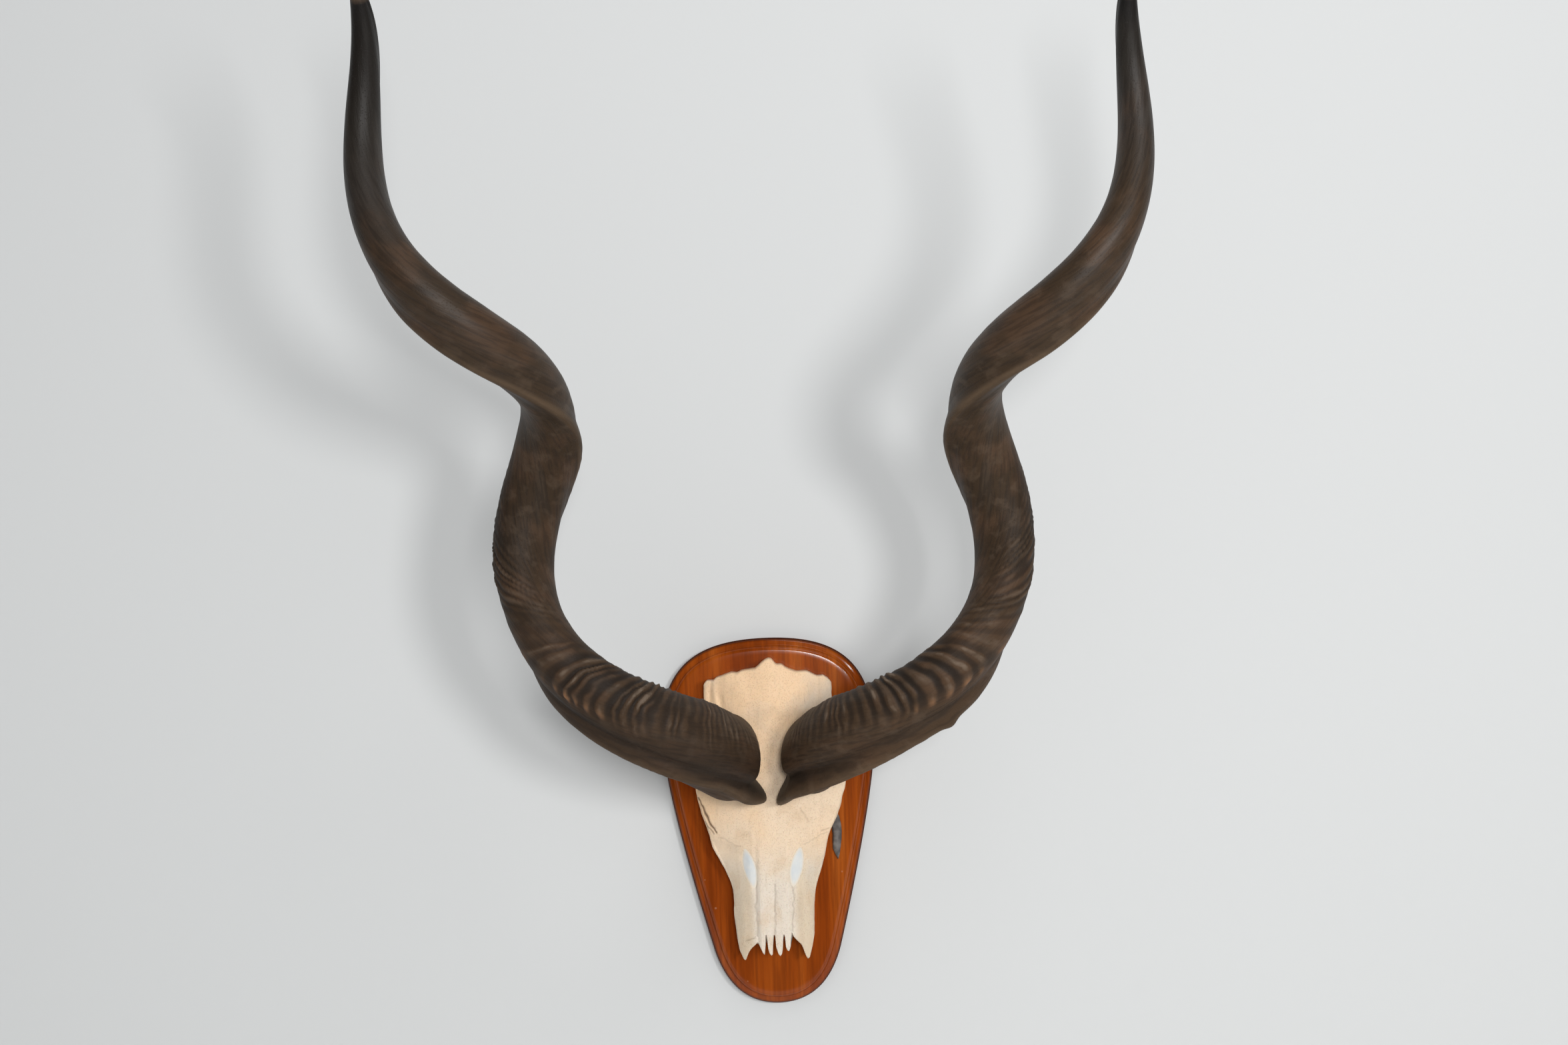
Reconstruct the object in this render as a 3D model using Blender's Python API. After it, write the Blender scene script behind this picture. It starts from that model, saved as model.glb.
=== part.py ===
# A greater kudu's two horns on their skull plate, mounted on a varnished wooden wall shield.
# Metres, +Z up. The shield's flat back lies against the wall in the plane y = 0, and the
# skull and the horns stand out from it towards -Y. The origin is the middle of that back.
# Left and right are as seen from the front. The right horn is a right-handed screw and the
# left one is its mirror image, with its own sizes, because the pair grew a little unlike.
import math

import bmesh
import bpy
import numpy as np

MM = 0.001
GAP = 0.0003                      # clearance kept between pieces that touch
MERGE = 0.00002                   # points closer than this are one

# Wooden shield; the outline's points are (x, z) in millimetres
SHIELD_THICK = 0.020              # back to the raised field's face
SHIELD_BOARD = 0.010              # thickness of the outer edge board
FIELD_INSET = 0.0075              # how far the raised field stands in from the edge
BOARD_ROUND = 0.0030              # rounding of the edge board's front rim
FIELD_ROUND = 0.0035              # rounding of the raised field's rim
SHIELD_TOP, SHIELD_TOP_PULL = (0, 182), 78
SHIELD_SHOULDER, SHOULDER_UP, SHOULDER_DOWN = (106.8, 84), (0, 65), (0.5, -42)
SHIELD_FLANK, FLANK_UP, FLANK_DOWN = (62.6, -134), (18.5, 68), (-9.3, -31)
SHIELD_BOTTOM, SHIELD_BOTTOM_PULL = (0, -189), 34
OUTLINE_STEPS = 7                 # flat steps between two points of the curved outline

# Skull outline, (x, z) in millimetres, clockwise from its broken upper left corner
SKULL_CREST = [(-64, 140.5), (-61, 144.5), (-48, 148.5), (-36, 152.5), (-12, 154.5), (2, 163.5),
               (15, 155.5), (28, 150.5), (48, 145.5), (59, 143.5), (64, 138.5)]
SKULL_RIGHT = [(64, 120), (60, 80), (64, 60), (75, 40), (68, 7), (60, -13), (53, -39),
               (41, -67), (39, -114), (32, -138), (25, -121), (17, -110)]
SKULL_PRONGS = [(15.5, -122), (12.5, -127.5), (9.5, -125), (8.7, -111.5), (7.7, -126),
                (5, -132.5), (1, -126), (-0.8, -112), (-2, -130), (-3.5, -132), (-7.2, -126),
                (-8.5, -111), (-9.7, -128), (-11, -131), (-15.5, -123)]
SKULL_LEFT = [(-17.5, -119), (-25, -125), (-31, -137), (-38, -117), (-41, -65), (-53, -38),
              (-60, -24), (-64, -6), (-71, 18), (-75, 39), (-64, 60), (-60, 80), (-64, 120)]

# Skull relief in millimetres: its height over the shield's face at these levels
RELIEF_AT = [-140, -110, -60, -20, 10, 40, 75, 110, 140, 170]
RELIEF_MIDDLE = [34, 37, 42, 46, 48, 50, 50, 46, 39, 30]
RELIEF_EDGE = [17, 20, 24, 29, 30, 29, 26, 23, 22, 20]
RELIEF_HALF_WIDTH = [40, 40, 42, 58, 69, 75, 61, 62, 64, 64]
FOREHEAD_POWER = 2.1              # how flat the forehead is across
NASAL_HALF_WIDTH = 18             # the raised pair of nasal bones
NASAL_STEP = 2.0                  # how far they stand over the maxilla
NASAL_RIM = 2.0                   # width of the slope down to the maxilla
MUZZLE_FROM, MUZZLE_FULL = 5, -45  # where the round forehead turns into the muzzle
MUZZLE_POWER = 1.8                # how long the muzzle stays flat beside the nasals
RELIEF_COLUMNS = [-84, -72, -61, -50, -40, -31, -24, -19, -16.5, -6,
                  6, 16.5, 19, 24, 31, 40, 50, 61, 72, 84]
RELIEF_LOW, RELIEF_HIGH, RELIEF_STEP = -150, 180, 13.2
PRISM_BACK, PRISM_FRONT = 0.018, 0.085  # reach of the outline that the relief is cut to
ORBIT_RADIUS, ORBIT_TALL, ORBIT_LEVEL = 0.021, 1.15, 0.008
ORBIT_IN, ORBIT_OUT = 0.046, 0.106
CAVITY_HALF_WIDTH, CAVITY_HIGH, CAVITY_LOW, CAVITY_END = 0.0145, 0.030, -0.170, -0.080

# White fillings beside the nasals: upright lenses
LENS_MIDDLE, LENS_HALF = (23.5, -40), (7.0, 19.5)
LENS_STEPS, LENS_POINTED = 16, 1.3
LENS_DEEP = 0.016

# Seats of the horns on the skull: a face that falls away to the side
SEAT_HEIGHT, SEAT_INNER = 0.0715, 0.014
SEAT_FALL = math.tan(math.radians(17))
PEDICLE_MIDDLE, PEDICLE_HALF = (0.041, 0.073), (0.0235, 0.037)
PEDICLE_ROOT = 0.035
REST_GAP, REST_REACH = 0.0016, 0.068  # a horn's underside over the bone, out to this far

# Horns. Each is a screw round a leaning axis, in metres and degrees. Swing is the distance
# from that axis at the foot and at the tip, with a cubic curve's two handles between them.
# Lip is how far the inner corner of the flange at its foot reaches inwards.
LEFT_HORN = dict(side=-1, foot=(0.1022, -0.102, 0.0557), lean_out=16.5, lean_forward=25.5,
                 axis=0.819, swing=(0.0626, 0.0242, 0.0617, 0.0182), start=-182.0,
                 turns=1.881, lag=28.0, skew=-145.0, bow_side=0.008, bow_back=-0.018,
                 lip=0.008)
RIGHT_HORN = dict(side=1, foot=(0.0995, -0.0982, 0.052), lean_out=16.7, lean_forward=26.2,
                  axis=0.8086, swing=(0.0590, 0.0197, 0.0645, 0.0162), start=-191.6,
                  turns=1.853, lag=45.4, skew=-136.4, bow_side=0.017, bow_back=-0.019,
                  lip=0.0015)
TRACE_STEPS = 600
HALF_ACROSS, HALF_ALONG = 0.0307, 0.0389  # section's half sizes, across and along the coil
ROUND_OUT = 0.136                 # how much wider across the section is by the tip
GIRTH_AT = [0, 0.06, 0.15, 0.35, 0.55, 0.75, 0.90, 0.97, 0.992, 1]
GIRTH = [1.16, 1.06, 0.87, 0.79, 0.67, 0.565, 0.32, 0.165, 0.09, 0.04]
KEEL_HIGH, KEEL_NARROW = 0.0088, math.radians(15)
KEEL_TURN = [math.radians(69), math.radians(28), math.radians(-37)]  # at the foot, drift, back
FLANGE_HIGH, FLANGE_REACH = 0.0055, 0.055
LIP_UP, LIP_WIDE = 0.003, math.radians(13)
GROOVE_DEEP, GROOVE_REACH = 0.0035, 0.07  # above the flange, fading out along the horn
GROOVE_TURN, GROOVE_NARROW = math.radians(-27), math.radians(8)
RIDGES, RIDGE_FROM, RIDGE_TO = 22, 0.035, 0.43
RIDGE_HIGH, RIDGE_VALLEY, RIDGE_SIDE = 0.0017, -0.35, math.radians(-25)
RIDGE_RISE, RIDGE_FALL, RIDGE_LEAST = 0.09, 0.08, 0.4  # how they come and go along the horn
SMOOTH_RINGS, FOOT_RINGS, TIP_CROWDING = 22, 4, 1.15
SECTION_ANGLES = [-162, -142, -121, -99, -76, -56, -40, -27, -17, -8, 0, 9, 19, 33, 52, 74,
                  98, 122, 145, 173]   # where the section's points stand, from the keel
FOOT_BEND = 0.5                   # share of the foot's depth that its curved start takes

# Grey wedge between the skull's right orbit rim and the shield, (x, z) in millimetres
WEDGE_OUTLINE = [(56, 4), (62, 8), (68, 0), (70, -14), (68.5, -30), (65.5, -43), (60.5, -32),
                 (60.8, -17)]
WEDGE_THICK = 0.006


def smooth_through(stations, values, at):
    """A smooth curve through the values at the stations (cubic Hermite, even slopes)."""
    x, y, at = (np.asarray(a, float) for a in (stations, values, at))
    slope = np.gradient(y, x)
    i = np.clip(np.searchsorted(x, at) - 1, 0, len(x) - 2)
    h = x[i + 1] - x[i]
    t = np.clip((at - x[i]) / h, 0, 1)
    return ((2 * t**3 - 3 * t**2 + 1) * y[i] + (t**3 - 2 * t**2 + t) * h * slope[i]
            + (3 * t**2 - 2 * t**3) * y[i + 1] + (t**3 - t**2) * h * slope[i + 1])


def ramp(value, start, end):
    """0 before start, 1 after end, with a soft step between them."""
    t = np.clip((value - start) / (end - start), 0, 1)
    return t * t * (3 - 2 * t)


def new_material(name, colour, roughness, coat=0.0):
    made = bpy.data.materials.new(name)
    made.use_nodes = True
    bsdf = made.node_tree.nodes["Principled BSDF"]
    bsdf.inputs["Base Color"].default_value = (*colour, 1)
    bsdf.inputs["Roughness"].default_value = roughness
    bsdf.inputs["Metallic"].default_value = 0.0
    bsdf.inputs["Coat Weight"].default_value = coat
    return made


def new_collection(name):
    made = bpy.data.collections.new(name)
    bpy.context.scene.collection.children.link(made)
    return made


def add_object(name, mesh, group, material=None):
    obj = bpy.data.objects.new(name, mesh)
    group.objects.link(obj)
    mesh.materials.clear()
    if material:
        mesh.materials.append(material)
    return obj


def add_cutter(name, mesh, group):
    obj = add_object(name, mesh, group)
    obj.hide_render = True
    obj.display_type = "WIRE"
    return obj


def face_outwards(work):
    work.normal_update()
    bmesh.ops.recalc_face_normals(work, faces=work.faces)


def combine(obj, operation, other):
    step = obj.modifiers.new(operation.lower() + "_" + other.name, "BOOLEAN")
    step.operation = operation
    step.object = other
    step.solver = "EXACT"


def slab(name, draw, back, front, inset=0.0):
    """A flat outline with a thickness, from y = -back to y = -front, as a closed mesh."""
    curve = bpy.data.curves.new(name, "CURVE")
    curve.dimensions = "2D"
    curve.fill_mode = "BOTH"
    curve.extrude = (front - back) / 2
    curve.offset = -inset
    draw(curve)
    guide = bpy.data.objects.new(name + "_outline", curve)
    bpy.context.scene.collection.objects.link(guide)
    graph = bpy.context.evaluated_depsgraph_get()
    mesh = bpy.data.meshes.new_from_object(guide.evaluated_get(graph))
    bpy.data.objects.remove(guide)
    work = bmesh.new()
    work.from_mesh(mesh)
    bmesh.ops.remove_doubles(work, verts=work.verts, dist=MERGE)
    for v in work.verts:
        v.co = (v.co.x, -(v.co.z + (front + back) / 2), v.co.y)
    face_outwards(work)
    work.to_mesh(mesh)
    work.free()
    return mesh


def polygon(points):
    """Draws a closed outline of straight lines through points in millimetres."""
    def draw(curve):
        spline = curve.splines.new("POLY")
        spline.points.add(len(points) - 1)
        for point, (x, z) in zip(spline.points, points):
            point.co = (x * MM, z * MM, 0, 1)
        spline.use_cyclic_u = True
    return draw


def shield_outline(curve):
    """Wide round top, nearly straight flanks and a narrower round bottom."""
    (sx, sz), (fx, fz) = SHIELD_SHOULDER, SHIELD_FLANK
    right = [((sx, sz), SHOULDER_UP, SHOULDER_DOWN), ((fx, fz), FLANK_UP, FLANK_DOWN)]
    left = [((-x, z), (-lower[0], lower[1]), (-upper[0], upper[1]))
            for (x, z), upper, lower in reversed(right)]
    top = (SHIELD_TOP, (-SHIELD_TOP_PULL, 0), (SHIELD_TOP_PULL, 0))
    bottom = (SHIELD_BOTTOM, (SHIELD_BOTTOM_PULL, 0), (-SHIELD_BOTTOM_PULL, 0))
    spline = curve.splines.new("BEZIER")
    stops = [top, *right, bottom, *left]
    spline.bezier_points.add(len(stops) - 1)
    for point, ((x, z), before, after) in zip(spline.bezier_points, stops):
        point.handle_left_type = point.handle_right_type = "FREE"
        point.co = (x * MM, z * MM, 0)
        point.handle_left = ((x + before[0]) * MM, (z + before[1]) * MM, 0)
        point.handle_right = ((x + after[0]) * MM, (z + after[1]) * MM, 0)
    spline.use_cyclic_u = True
    spline.resolution_u = OUTLINE_STEPS


def round_front_rim(mesh, front, radius, segments):
    """Rounds the rim of the face at y = -front."""
    work = bmesh.new()
    work.from_mesh(mesh)
    rim = [e for e in work.edges
           if all(abs(v.co.y + front) < MERGE for v in e.verts)
           and any(abs(f.normal.y) < 0.5 for f in e.link_faces)]
    bmesh.ops.bevel(work, geom=rim, offset=radius, segments=segments, profile=0.5,
                    affect="EDGES")
    face_outwards(work)
    work.to_mesh(mesh)
    work.free()


def build_shield(group, cutters):
    wood = new_material("varnished_wood", (0.22, 0.045, 0.009), 0.3, coat=0.6)
    board = slab("plaque", shield_outline, 0, SHIELD_BOARD)
    round_front_rim(board, SHIELD_BOARD, BOARD_ROUND, 2)
    field = slab("raised_field", shield_outline, SHIELD_BOARD / 2, SHIELD_THICK, FIELD_INSET)
    round_front_rim(field, SHIELD_THICK, FIELD_ROUND, 2)
    plaque = add_object("plaque", board, group, wood)
    combine(plaque, "UNION", add_cutter("raised_field", field, cutters))


def relief(x, z):
    """Height of the skull's front over the shield's face, all in millimetres."""
    middle = smooth_through(RELIEF_AT, RELIEF_MIDDLE, z)
    edge = smooth_through(RELIEF_AT, RELIEF_EDGE, z)
    half = smooth_through(RELIEF_AT, RELIEF_HALF_WIDTH, z)
    away = np.abs(x)
    forehead = 1 - np.clip(away / half, 0, 1) ** FOREHEAD_POWER
    beside = np.clip((away - NASAL_HALF_WIDTH) / (half - NASAL_HALF_WIDTH), 0, 1)
    muzzle = 1 - beside ** MUZZLE_POWER
    share = ramp(-z, -MUZZLE_FROM, -MUZZLE_FULL)
    step = NASAL_STEP * share
    crown = forehead * (1 - share) + muzzle * share
    nasals = step * (1 - ramp(away, NASAL_HALF_WIDTH - NASAL_RIM, NASAL_HALF_WIDTH))
    return edge + (middle - step - edge) * crown + nasals


def relief_block():
    """The skull's front surface down to a flat back that rests on the shield."""
    columns = np.array(RELIEF_COLUMNS, float)
    rows = np.arange(RELIEF_LOW, RELIEF_HIGH + RELIEF_STEP, RELIEF_STEP, dtype=float)
    work = bmesh.new()
    bmesh.ops.create_grid(work, x_segments=len(columns) - 1, y_segments=len(rows) - 1, size=1)
    for v in work.verts:
        x = columns[round((v.co.x + 1) / 2 * (len(columns) - 1))]
        z = rows[round((v.co.y + 1) / 2 * (len(rows) - 1))]
        v.co = (x * MM, -SHIELD_THICK - float(relief(x, z)) * MM, z * MM)
    grown = bmesh.ops.extrude_face_region(work, geom=list(work.faces))
    for v in grown["geom"]:
        if isinstance(v, bmesh.types.BMVert):
            v.co.y = -SHIELD_THICK - GAP
    face_outwards(work)
    mesh = bpy.data.meshes.new("relief")
    work.to_mesh(mesh)
    work.free()
    return mesh


def bar(name, group, radius, low, high, scale=(1, 1, 1), turn=None, segments=24):
    """A round bar along Z from low to high, scaled, then turned about the origin."""
    work = bmesh.new()
    bmesh.ops.create_cone(work, cap_ends=True, segments=segments, radius1=radius,
                          radius2=radius, depth=high - low)
    bmesh.ops.translate(work, verts=work.verts, vec=(0, 0, (low + high) / 2))
    bmesh.ops.scale(work, verts=work.verts, vec=scale)
    if turn:
        turn(work)
    mesh = bpy.data.meshes.new(name)
    work.to_mesh(mesh)
    work.free()
    return add_cutter(name, mesh, group)


def seat_y(x):
    """The seat's y at x: it falls back towards the wall away from the middle."""
    return -SEAT_HEIGHT + SEAT_FALL * (abs(x) - SEAT_INNER)


def pedicle(side, group):
    """The bone stump that carries a horn, cut off along the horn's seat."""
    def stand(work):
        for v in work.verts:
            x = side * PEDICLE_MIDDLE[0] + v.co.x
            top = seat_y(x) + GAP
            v.co = (x, top if v.co.z > 0 else -PEDICLE_ROOT, PEDICLE_MIDDLE[1] + v.co.y)
        face_outwards(work)
    across, along = PEDICLE_HALF
    return bar(f"pedicle_{side}", group, across, -1, 1, (1, along / across, 1), stand)


def lens(side, swell):
    """An upright lens outline beside the nasals, in millimetres."""
    (mx, mz), (hx, hz) = LENS_MIDDLE, LENS_HALF
    turns = [2 * math.pi * k / LENS_STEPS for k in range(LENS_STEPS)]
    return [(side * mx + (hx + swell) * math.copysign(abs(math.cos(a)) ** LENS_POINTED, math.cos(a)),
             mz + (hz + swell) * math.sin(a)) for a in turns]


def build_skull(group, cutters):
    bone = new_material("bleached_bone", (0.90, 0.72, 0.52), 0.6)
    skull = add_object("skull", relief_block(), group, bone)
    points = SKULL_CREST + SKULL_RIGHT + SKULL_PRONGS + SKULL_LEFT
    prism = slab("skull_outline", polygon(points), PRISM_BACK, PRISM_FRONT)
    combine(skull, "INTERSECT", add_cutter("skull_outline", prism, cutters))
    for side in (-1, 1):
        combine(skull, "UNION", pedicle(side, cutters))
        pocket = slab("pocket", polygon(lens(side, GAP / MM)), SHIELD_THICK + LENS_DEEP,
                      PRISM_FRONT)
        combine(skull, "DIFFERENCE", add_cutter(f"pocket_{side}", pocket, cutters))

        def lay_across(work, side=side):
            for v in work.verts:
                v.co = (side * v.co.z, -SHIELD_THICK + v.co.y, ORBIT_LEVEL + v.co.x)
            face_outwards(work)
        orbit = bar(f"orbit_{side}", cutters, ORBIT_RADIUS, ORBIT_IN, ORBIT_OUT,
                    (ORBIT_TALL, 1, 1), lay_across)
        combine(skull, "DIFFERENCE", orbit)

    def lay_along(work):
        for v in work.verts:
            v.co.y -= SHIELD_THICK
        face_outwards(work)
    cavity = bar("nasal_cavity", cutters, CAVITY_HALF_WIDTH, CAVITY_LOW, CAVITY_END,
                 (1, CAVITY_HIGH / CAVITY_HALF_WIDTH, 1), lay_along)
    combine(skull, "DIFFERENCE", cavity)


def build_fillings(group, cutters):
    white = new_material("white_filling", (0.80, 0.78, 0.74), 0.5)
    for side, name in ((-1, "filler_left"), (1, "filler_right")):
        filling = add_object(name, relief_block(), group, white)
        core = slab(name, polygon(lens(side, 0)), SHIELD_THICK + LENS_DEEP + GAP, PRISM_FRONT)
        combine(filling, "INTERSECT", add_cutter(name + "_outline", core, cutters))


def trace(horn):
    """Centre line, outward and downward directions at even steps of a horn's length."""
    s = np.linspace(0, 1, TRACE_STEPS)
    out, forward = math.radians(horn["lean_out"]), math.radians(horn["lean_forward"])
    axis = np.array([math.sin(out), -math.sin(forward) * math.cos(out),
                     math.cos(forward) * math.cos(out)])
    axis /= np.linalg.norm(axis)
    sideways = np.array([1.0, 0, 0]) - axis[0] * axis
    sideways /= np.linalg.norm(sideways)
    backwards = np.cross(axis, sideways)
    turned = np.radians(horn["start"] + 360 * horn["turns"] * s + horn["lag"] * s * (1 - s)
                        + horn["skew"] * s * (1 - s) * (1 - 2 * s))
    a, b, c, d = horn["swing"]
    swing = a * (1 - s)**3 + 3 * b * s * (1 - s)**2 + 3 * c * s**2 * (1 - s) + d * s**3
    radial = np.outer(np.cos(turned), sideways) + np.outer(np.sin(turned), backwards)
    bow = horn["bow_side"] * sideways + horn["bow_back"] * backwards
    centre = (np.array(horn["foot"]) + np.outer(s * horn["axis"], axis)
              + swing[:, None] * radial + np.outer(np.sin(np.pi * s), bow))
    step = np.linalg.norm(np.diff(centre, axis=0), axis=1)
    length = np.concatenate([[0], np.cumsum(step)])
    share = length / length[-1]
    even = np.linspace(0, 1, TRACE_STEPS)
    centre = np.stack([np.interp(even, share, centre[:, k]) for k in range(3)], 1)
    radial = np.stack([np.interp(even, share, radial[:, k]) for k in range(3)], 1)
    along = np.gradient(centre, axis=0)
    along /= np.linalg.norm(along, axis=1)[:, None]
    outward = radial - (radial * along).sum(1)[:, None] * along
    outward /= np.linalg.norm(outward, axis=1)[:, None]
    downward = np.cross(along, outward)
    downward *= -np.sign((downward @ axis).mean())
    return even, centre, along, outward, downward


def stations():
    """Where along the horn its rings stand, and how far each is on a ridge, 1, or between."""
    ridged = np.linspace(RIDGE_FROM, RIDGE_TO, 2 * RIDGES + 1)
    height = np.where(np.arange(len(ridged)) % 2, 1.0, RIDGE_VALLEY)
    left = 1 - np.linspace(0, 1, SMOOTH_RINGS + 1)[1:]
    smooth = 1 - (1 - RIDGE_TO) * left ** TIP_CROWDING
    at = np.concatenate([[0, RIDGE_FROM / 2], ridged, smooth])
    return at, np.concatenate([[0, 0], height, np.zeros(len(smooth))])


def rest_on_bone(points):
    """Lifts the points of a horn's underside that would sink into the skull."""
    x, z = np.abs(points[..., 0]), points[..., 2]
    surface = -SHIELD_THICK - relief(x / MM, z / MM) * MM - REST_GAP
    bone = np.minimum(surface, seat_y(x))
    points[..., 1] = np.where(x < REST_REACH, np.minimum(points[..., 1], bone), points[..., 1])
    return points


def horn_rings(horn):
    """The horn's rings of points from its seat on the skull to its tip."""
    even, centre, along, outward, downward = trace(horn)
    at, ridge = stations()
    keel_at = KEEL_TURN[0] + KEEL_TURN[1] * at + KEEL_TURN[2] * at**2
    from_keel = np.radians(SECTION_ANGLES)[None, :]
    theta = keel_at[:, None] + from_keel
    girth = smooth_through(GIRTH_AT, GIRTH, at)[:, None]
    across = HALF_ACROSS * (1 + ROUND_OUT * at)[:, None]
    oval = girth / np.hypot(np.cos(theta) / across, np.sin(theta) / HALF_ALONG)
    keel = girth * (KEEL_HIGH + FLANGE_HIGH * np.exp(-at / FLANGE_REACH)[:, None])
    keel = keel * np.exp(-(from_keel / KEEL_NARROW) ** 2)
    groove = GROOVE_DEEP * np.exp(-at / GROOVE_REACH)[:, None]
    groove = groove * np.exp(-((from_keel - GROOVE_TURN) / GROOVE_NARROW) ** 2)
    ridge_side = 0.5 + 0.5 * np.cos(theta - RIDGE_SIDE)
    fade = ramp(at, 0, RIDGE_RISE) * (1 - ramp(at, RIDGE_TO - RIDGE_FALL, RIDGE_TO))
    strength = RIDGE_LEAST + (1 - RIDGE_LEAST) * fade
    ridges = RIDGE_HIGH * (ridge * strength)[:, None] * ridge_side
    radius = oval + keel + ridges - groove

    def pick(values):
        return np.stack([np.interp(at, even, values[:, k]) for k in range(3)], 1)[:, None]
    rings = pick(centre) + radius[..., None] * (
        np.cos(theta)[..., None] * pick(outward) + np.sin(theta)[..., None] * pick(downward))
    first = rings[0]
    lip = np.exp(-(from_keel[0] / LIP_WIDE) ** 2)
    seat = first.copy()
    seat[:, 0] -= horn["lip"] * lip
    seat[:, 2] += LIP_UP * lip
    seat[:, 1] = [seat_y(x) for x in seat[:, 0]]
    depth = (seat[:, 1] - first[:, 1])[:, None]
    foot = []
    for t in np.linspace(0, 1, FOOT_RINGS + 1)[:-1]:
        rise, settle = t**3 - 2 * t**2 + t, t**3 - t**2
        foot.append((2 * t**3 - 3 * t**2 + 1) * seat + (3 * t**2 - 2 * t**3) * first
                    + rise * depth * np.array([0, -1, 0])
                    + settle * FOOT_BEND * depth * pick(along)[0])
    rings = rest_on_bone(np.concatenate([np.array(foot), rings]))
    rings[..., 0] *= horn["side"]
    return rings


def loft(name, rings):
    """Joins rings of points into one closed skin with flat ends."""
    work = bmesh.new()
    made = [[work.verts.new(point) for point in ring] for ring in rings]
    for low, high in zip(made, made[1:]):
        for k in range(len(low)):
            n = (k + 1) % len(low)
            work.faces.new((low[k], low[n], high[n], high[k]))
    work.faces.new(made[0])
    work.faces.new(made[-1])
    face_outwards(work)
    mesh = bpy.data.meshes.new(name)
    work.to_mesh(mesh)
    work.free()
    mesh.shade_smooth()
    return mesh


def build_horns(group):
    horn = new_material("horn", (0.045, 0.030, 0.020), 0.5)
    add_object("horn_left", loft("horn_left", horn_rings(LEFT_HORN)), group, horn)
    add_object("horn_right", loft("horn_right", horn_rings(RIGHT_HORN)), group, horn)


def build_wedge(group):
    grey = new_material("grey_wedge", (0.15, 0.13, 0.12), 0.7)
    back = SHIELD_THICK + GAP
    shape = slab("packing_wedge", polygon(WEDGE_OUTLINE), back, back + WEDGE_THICK)
    add_object("packing_wedge", shape, group, grey)


def main():
    for obj in list(bpy.data.objects):
        bpy.data.objects.remove(obj)
    mount = new_collection("kudu_horns_on_shield")
    cutters = new_collection("cutters")
    build_shield(mount, cutters)
    build_skull(mount, cutters)
    build_fillings(mount, cutters)
    build_horns(mount)
    build_wedge(mount)


main()
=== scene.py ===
# A greater kudu's horns on their skull plate and varnished wall shield: surfaces and finishes.
# Metres, +Z up. The shield's flat back lies in the plane y = 0 and the horns come out to -Y.
import math

import bpy
import numpy as np
from mathutils import Matrix, Vector


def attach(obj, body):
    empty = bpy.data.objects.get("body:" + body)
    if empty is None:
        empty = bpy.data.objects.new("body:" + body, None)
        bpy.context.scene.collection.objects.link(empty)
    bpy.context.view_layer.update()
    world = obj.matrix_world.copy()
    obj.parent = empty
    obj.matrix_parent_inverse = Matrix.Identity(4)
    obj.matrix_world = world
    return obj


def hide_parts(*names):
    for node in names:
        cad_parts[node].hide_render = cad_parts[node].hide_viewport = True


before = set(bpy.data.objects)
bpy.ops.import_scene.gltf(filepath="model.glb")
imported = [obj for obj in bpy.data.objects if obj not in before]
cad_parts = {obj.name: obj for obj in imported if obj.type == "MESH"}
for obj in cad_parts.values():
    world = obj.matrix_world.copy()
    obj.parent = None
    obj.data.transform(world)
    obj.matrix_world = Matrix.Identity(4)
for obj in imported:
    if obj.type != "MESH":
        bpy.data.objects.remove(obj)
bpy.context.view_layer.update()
mm = 0.001


# Numbers and noise

def smoothThrough(stations, values, at):
    # cubic Hermite curve through the values, its slopes the mean of the neighbours'
    x = np.asarray(stations, float)
    y = np.asarray(values, float)
    slope = np.gradient(y, x)
    i = np.clip(np.searchsorted(x, at) - 1, 0, len(x) - 2)
    h = x[i + 1] - x[i]
    t = np.clip((at - x[i]) / h, 0, 1)
    return ((2 * t**3 - 3 * t**2 + 1) * y[i] + (t**3 - 2 * t**2 + t) * h * slope[i]
            + (3 * t**2 - 2 * t**3) * y[i + 1] + (t**3 - t**2) * h * slope[i + 1])


def ramp(value, start, end):
    # 0 before start and 1 after end, with the curve 3t²-2t³ between
    t = np.clip((value - start) / (end - start), 0, 1)
    return t * t * (3 - 2 * t)


def hump(value, middle, width):
    # bell curve, 1 in the middle
    return np.exp(-((value - middle) / width) ** 2)


def noise(points, size, seed):
    # -1 to 1: random values on a cubic lattice, blended between the corners of each cell
    q = points / size + seed * 17.31
    cell = np.floor(q)
    t = q - cell
    t = t * t * (3 - 2 * t)
    total = np.zeros(points.shape[:-1])
    for corner in range(8):
        offset = np.array([corner & 1, corner >> 1 & 1, corner >> 2 & 1])
        value = np.sin((cell + offset) @ (12.9898, 78.233, 37.719)) * 43758.5453
        share = np.prod(np.where(offset, t, 1 - t), axis=-1)
        total += share * (2 * (value - np.floor(value)) - 1)
    return total


def roughNoise(points, size, seed):
    # three layers of noise, each half the size and half the height of the last
    return (noise(points, size, seed) + 0.5 * noise(points, size / 2, seed + 1)
            + 0.25 * noise(points, size / 4, seed + 2)) / 1.75


def nearPath(x, z, path, width):
    # bell curve across a path of straight lines through (x, z) points
    nearest = np.full(np.shape(x), 1e9)
    for (ax, az), (bx, bz) in zip(path, path[1:]):
        dx, dz = bx - ax, bz - az
        t = np.clip(((x - ax) * dx + (z - az) * dz) / (dx * dx + dz * dz), 0, 1)
        nearest = np.minimum(nearest, np.hypot(x - ax - t * dx, z - az - t * dz))
    return np.exp(-(nearest / width) ** 2)


# Meshes

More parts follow.
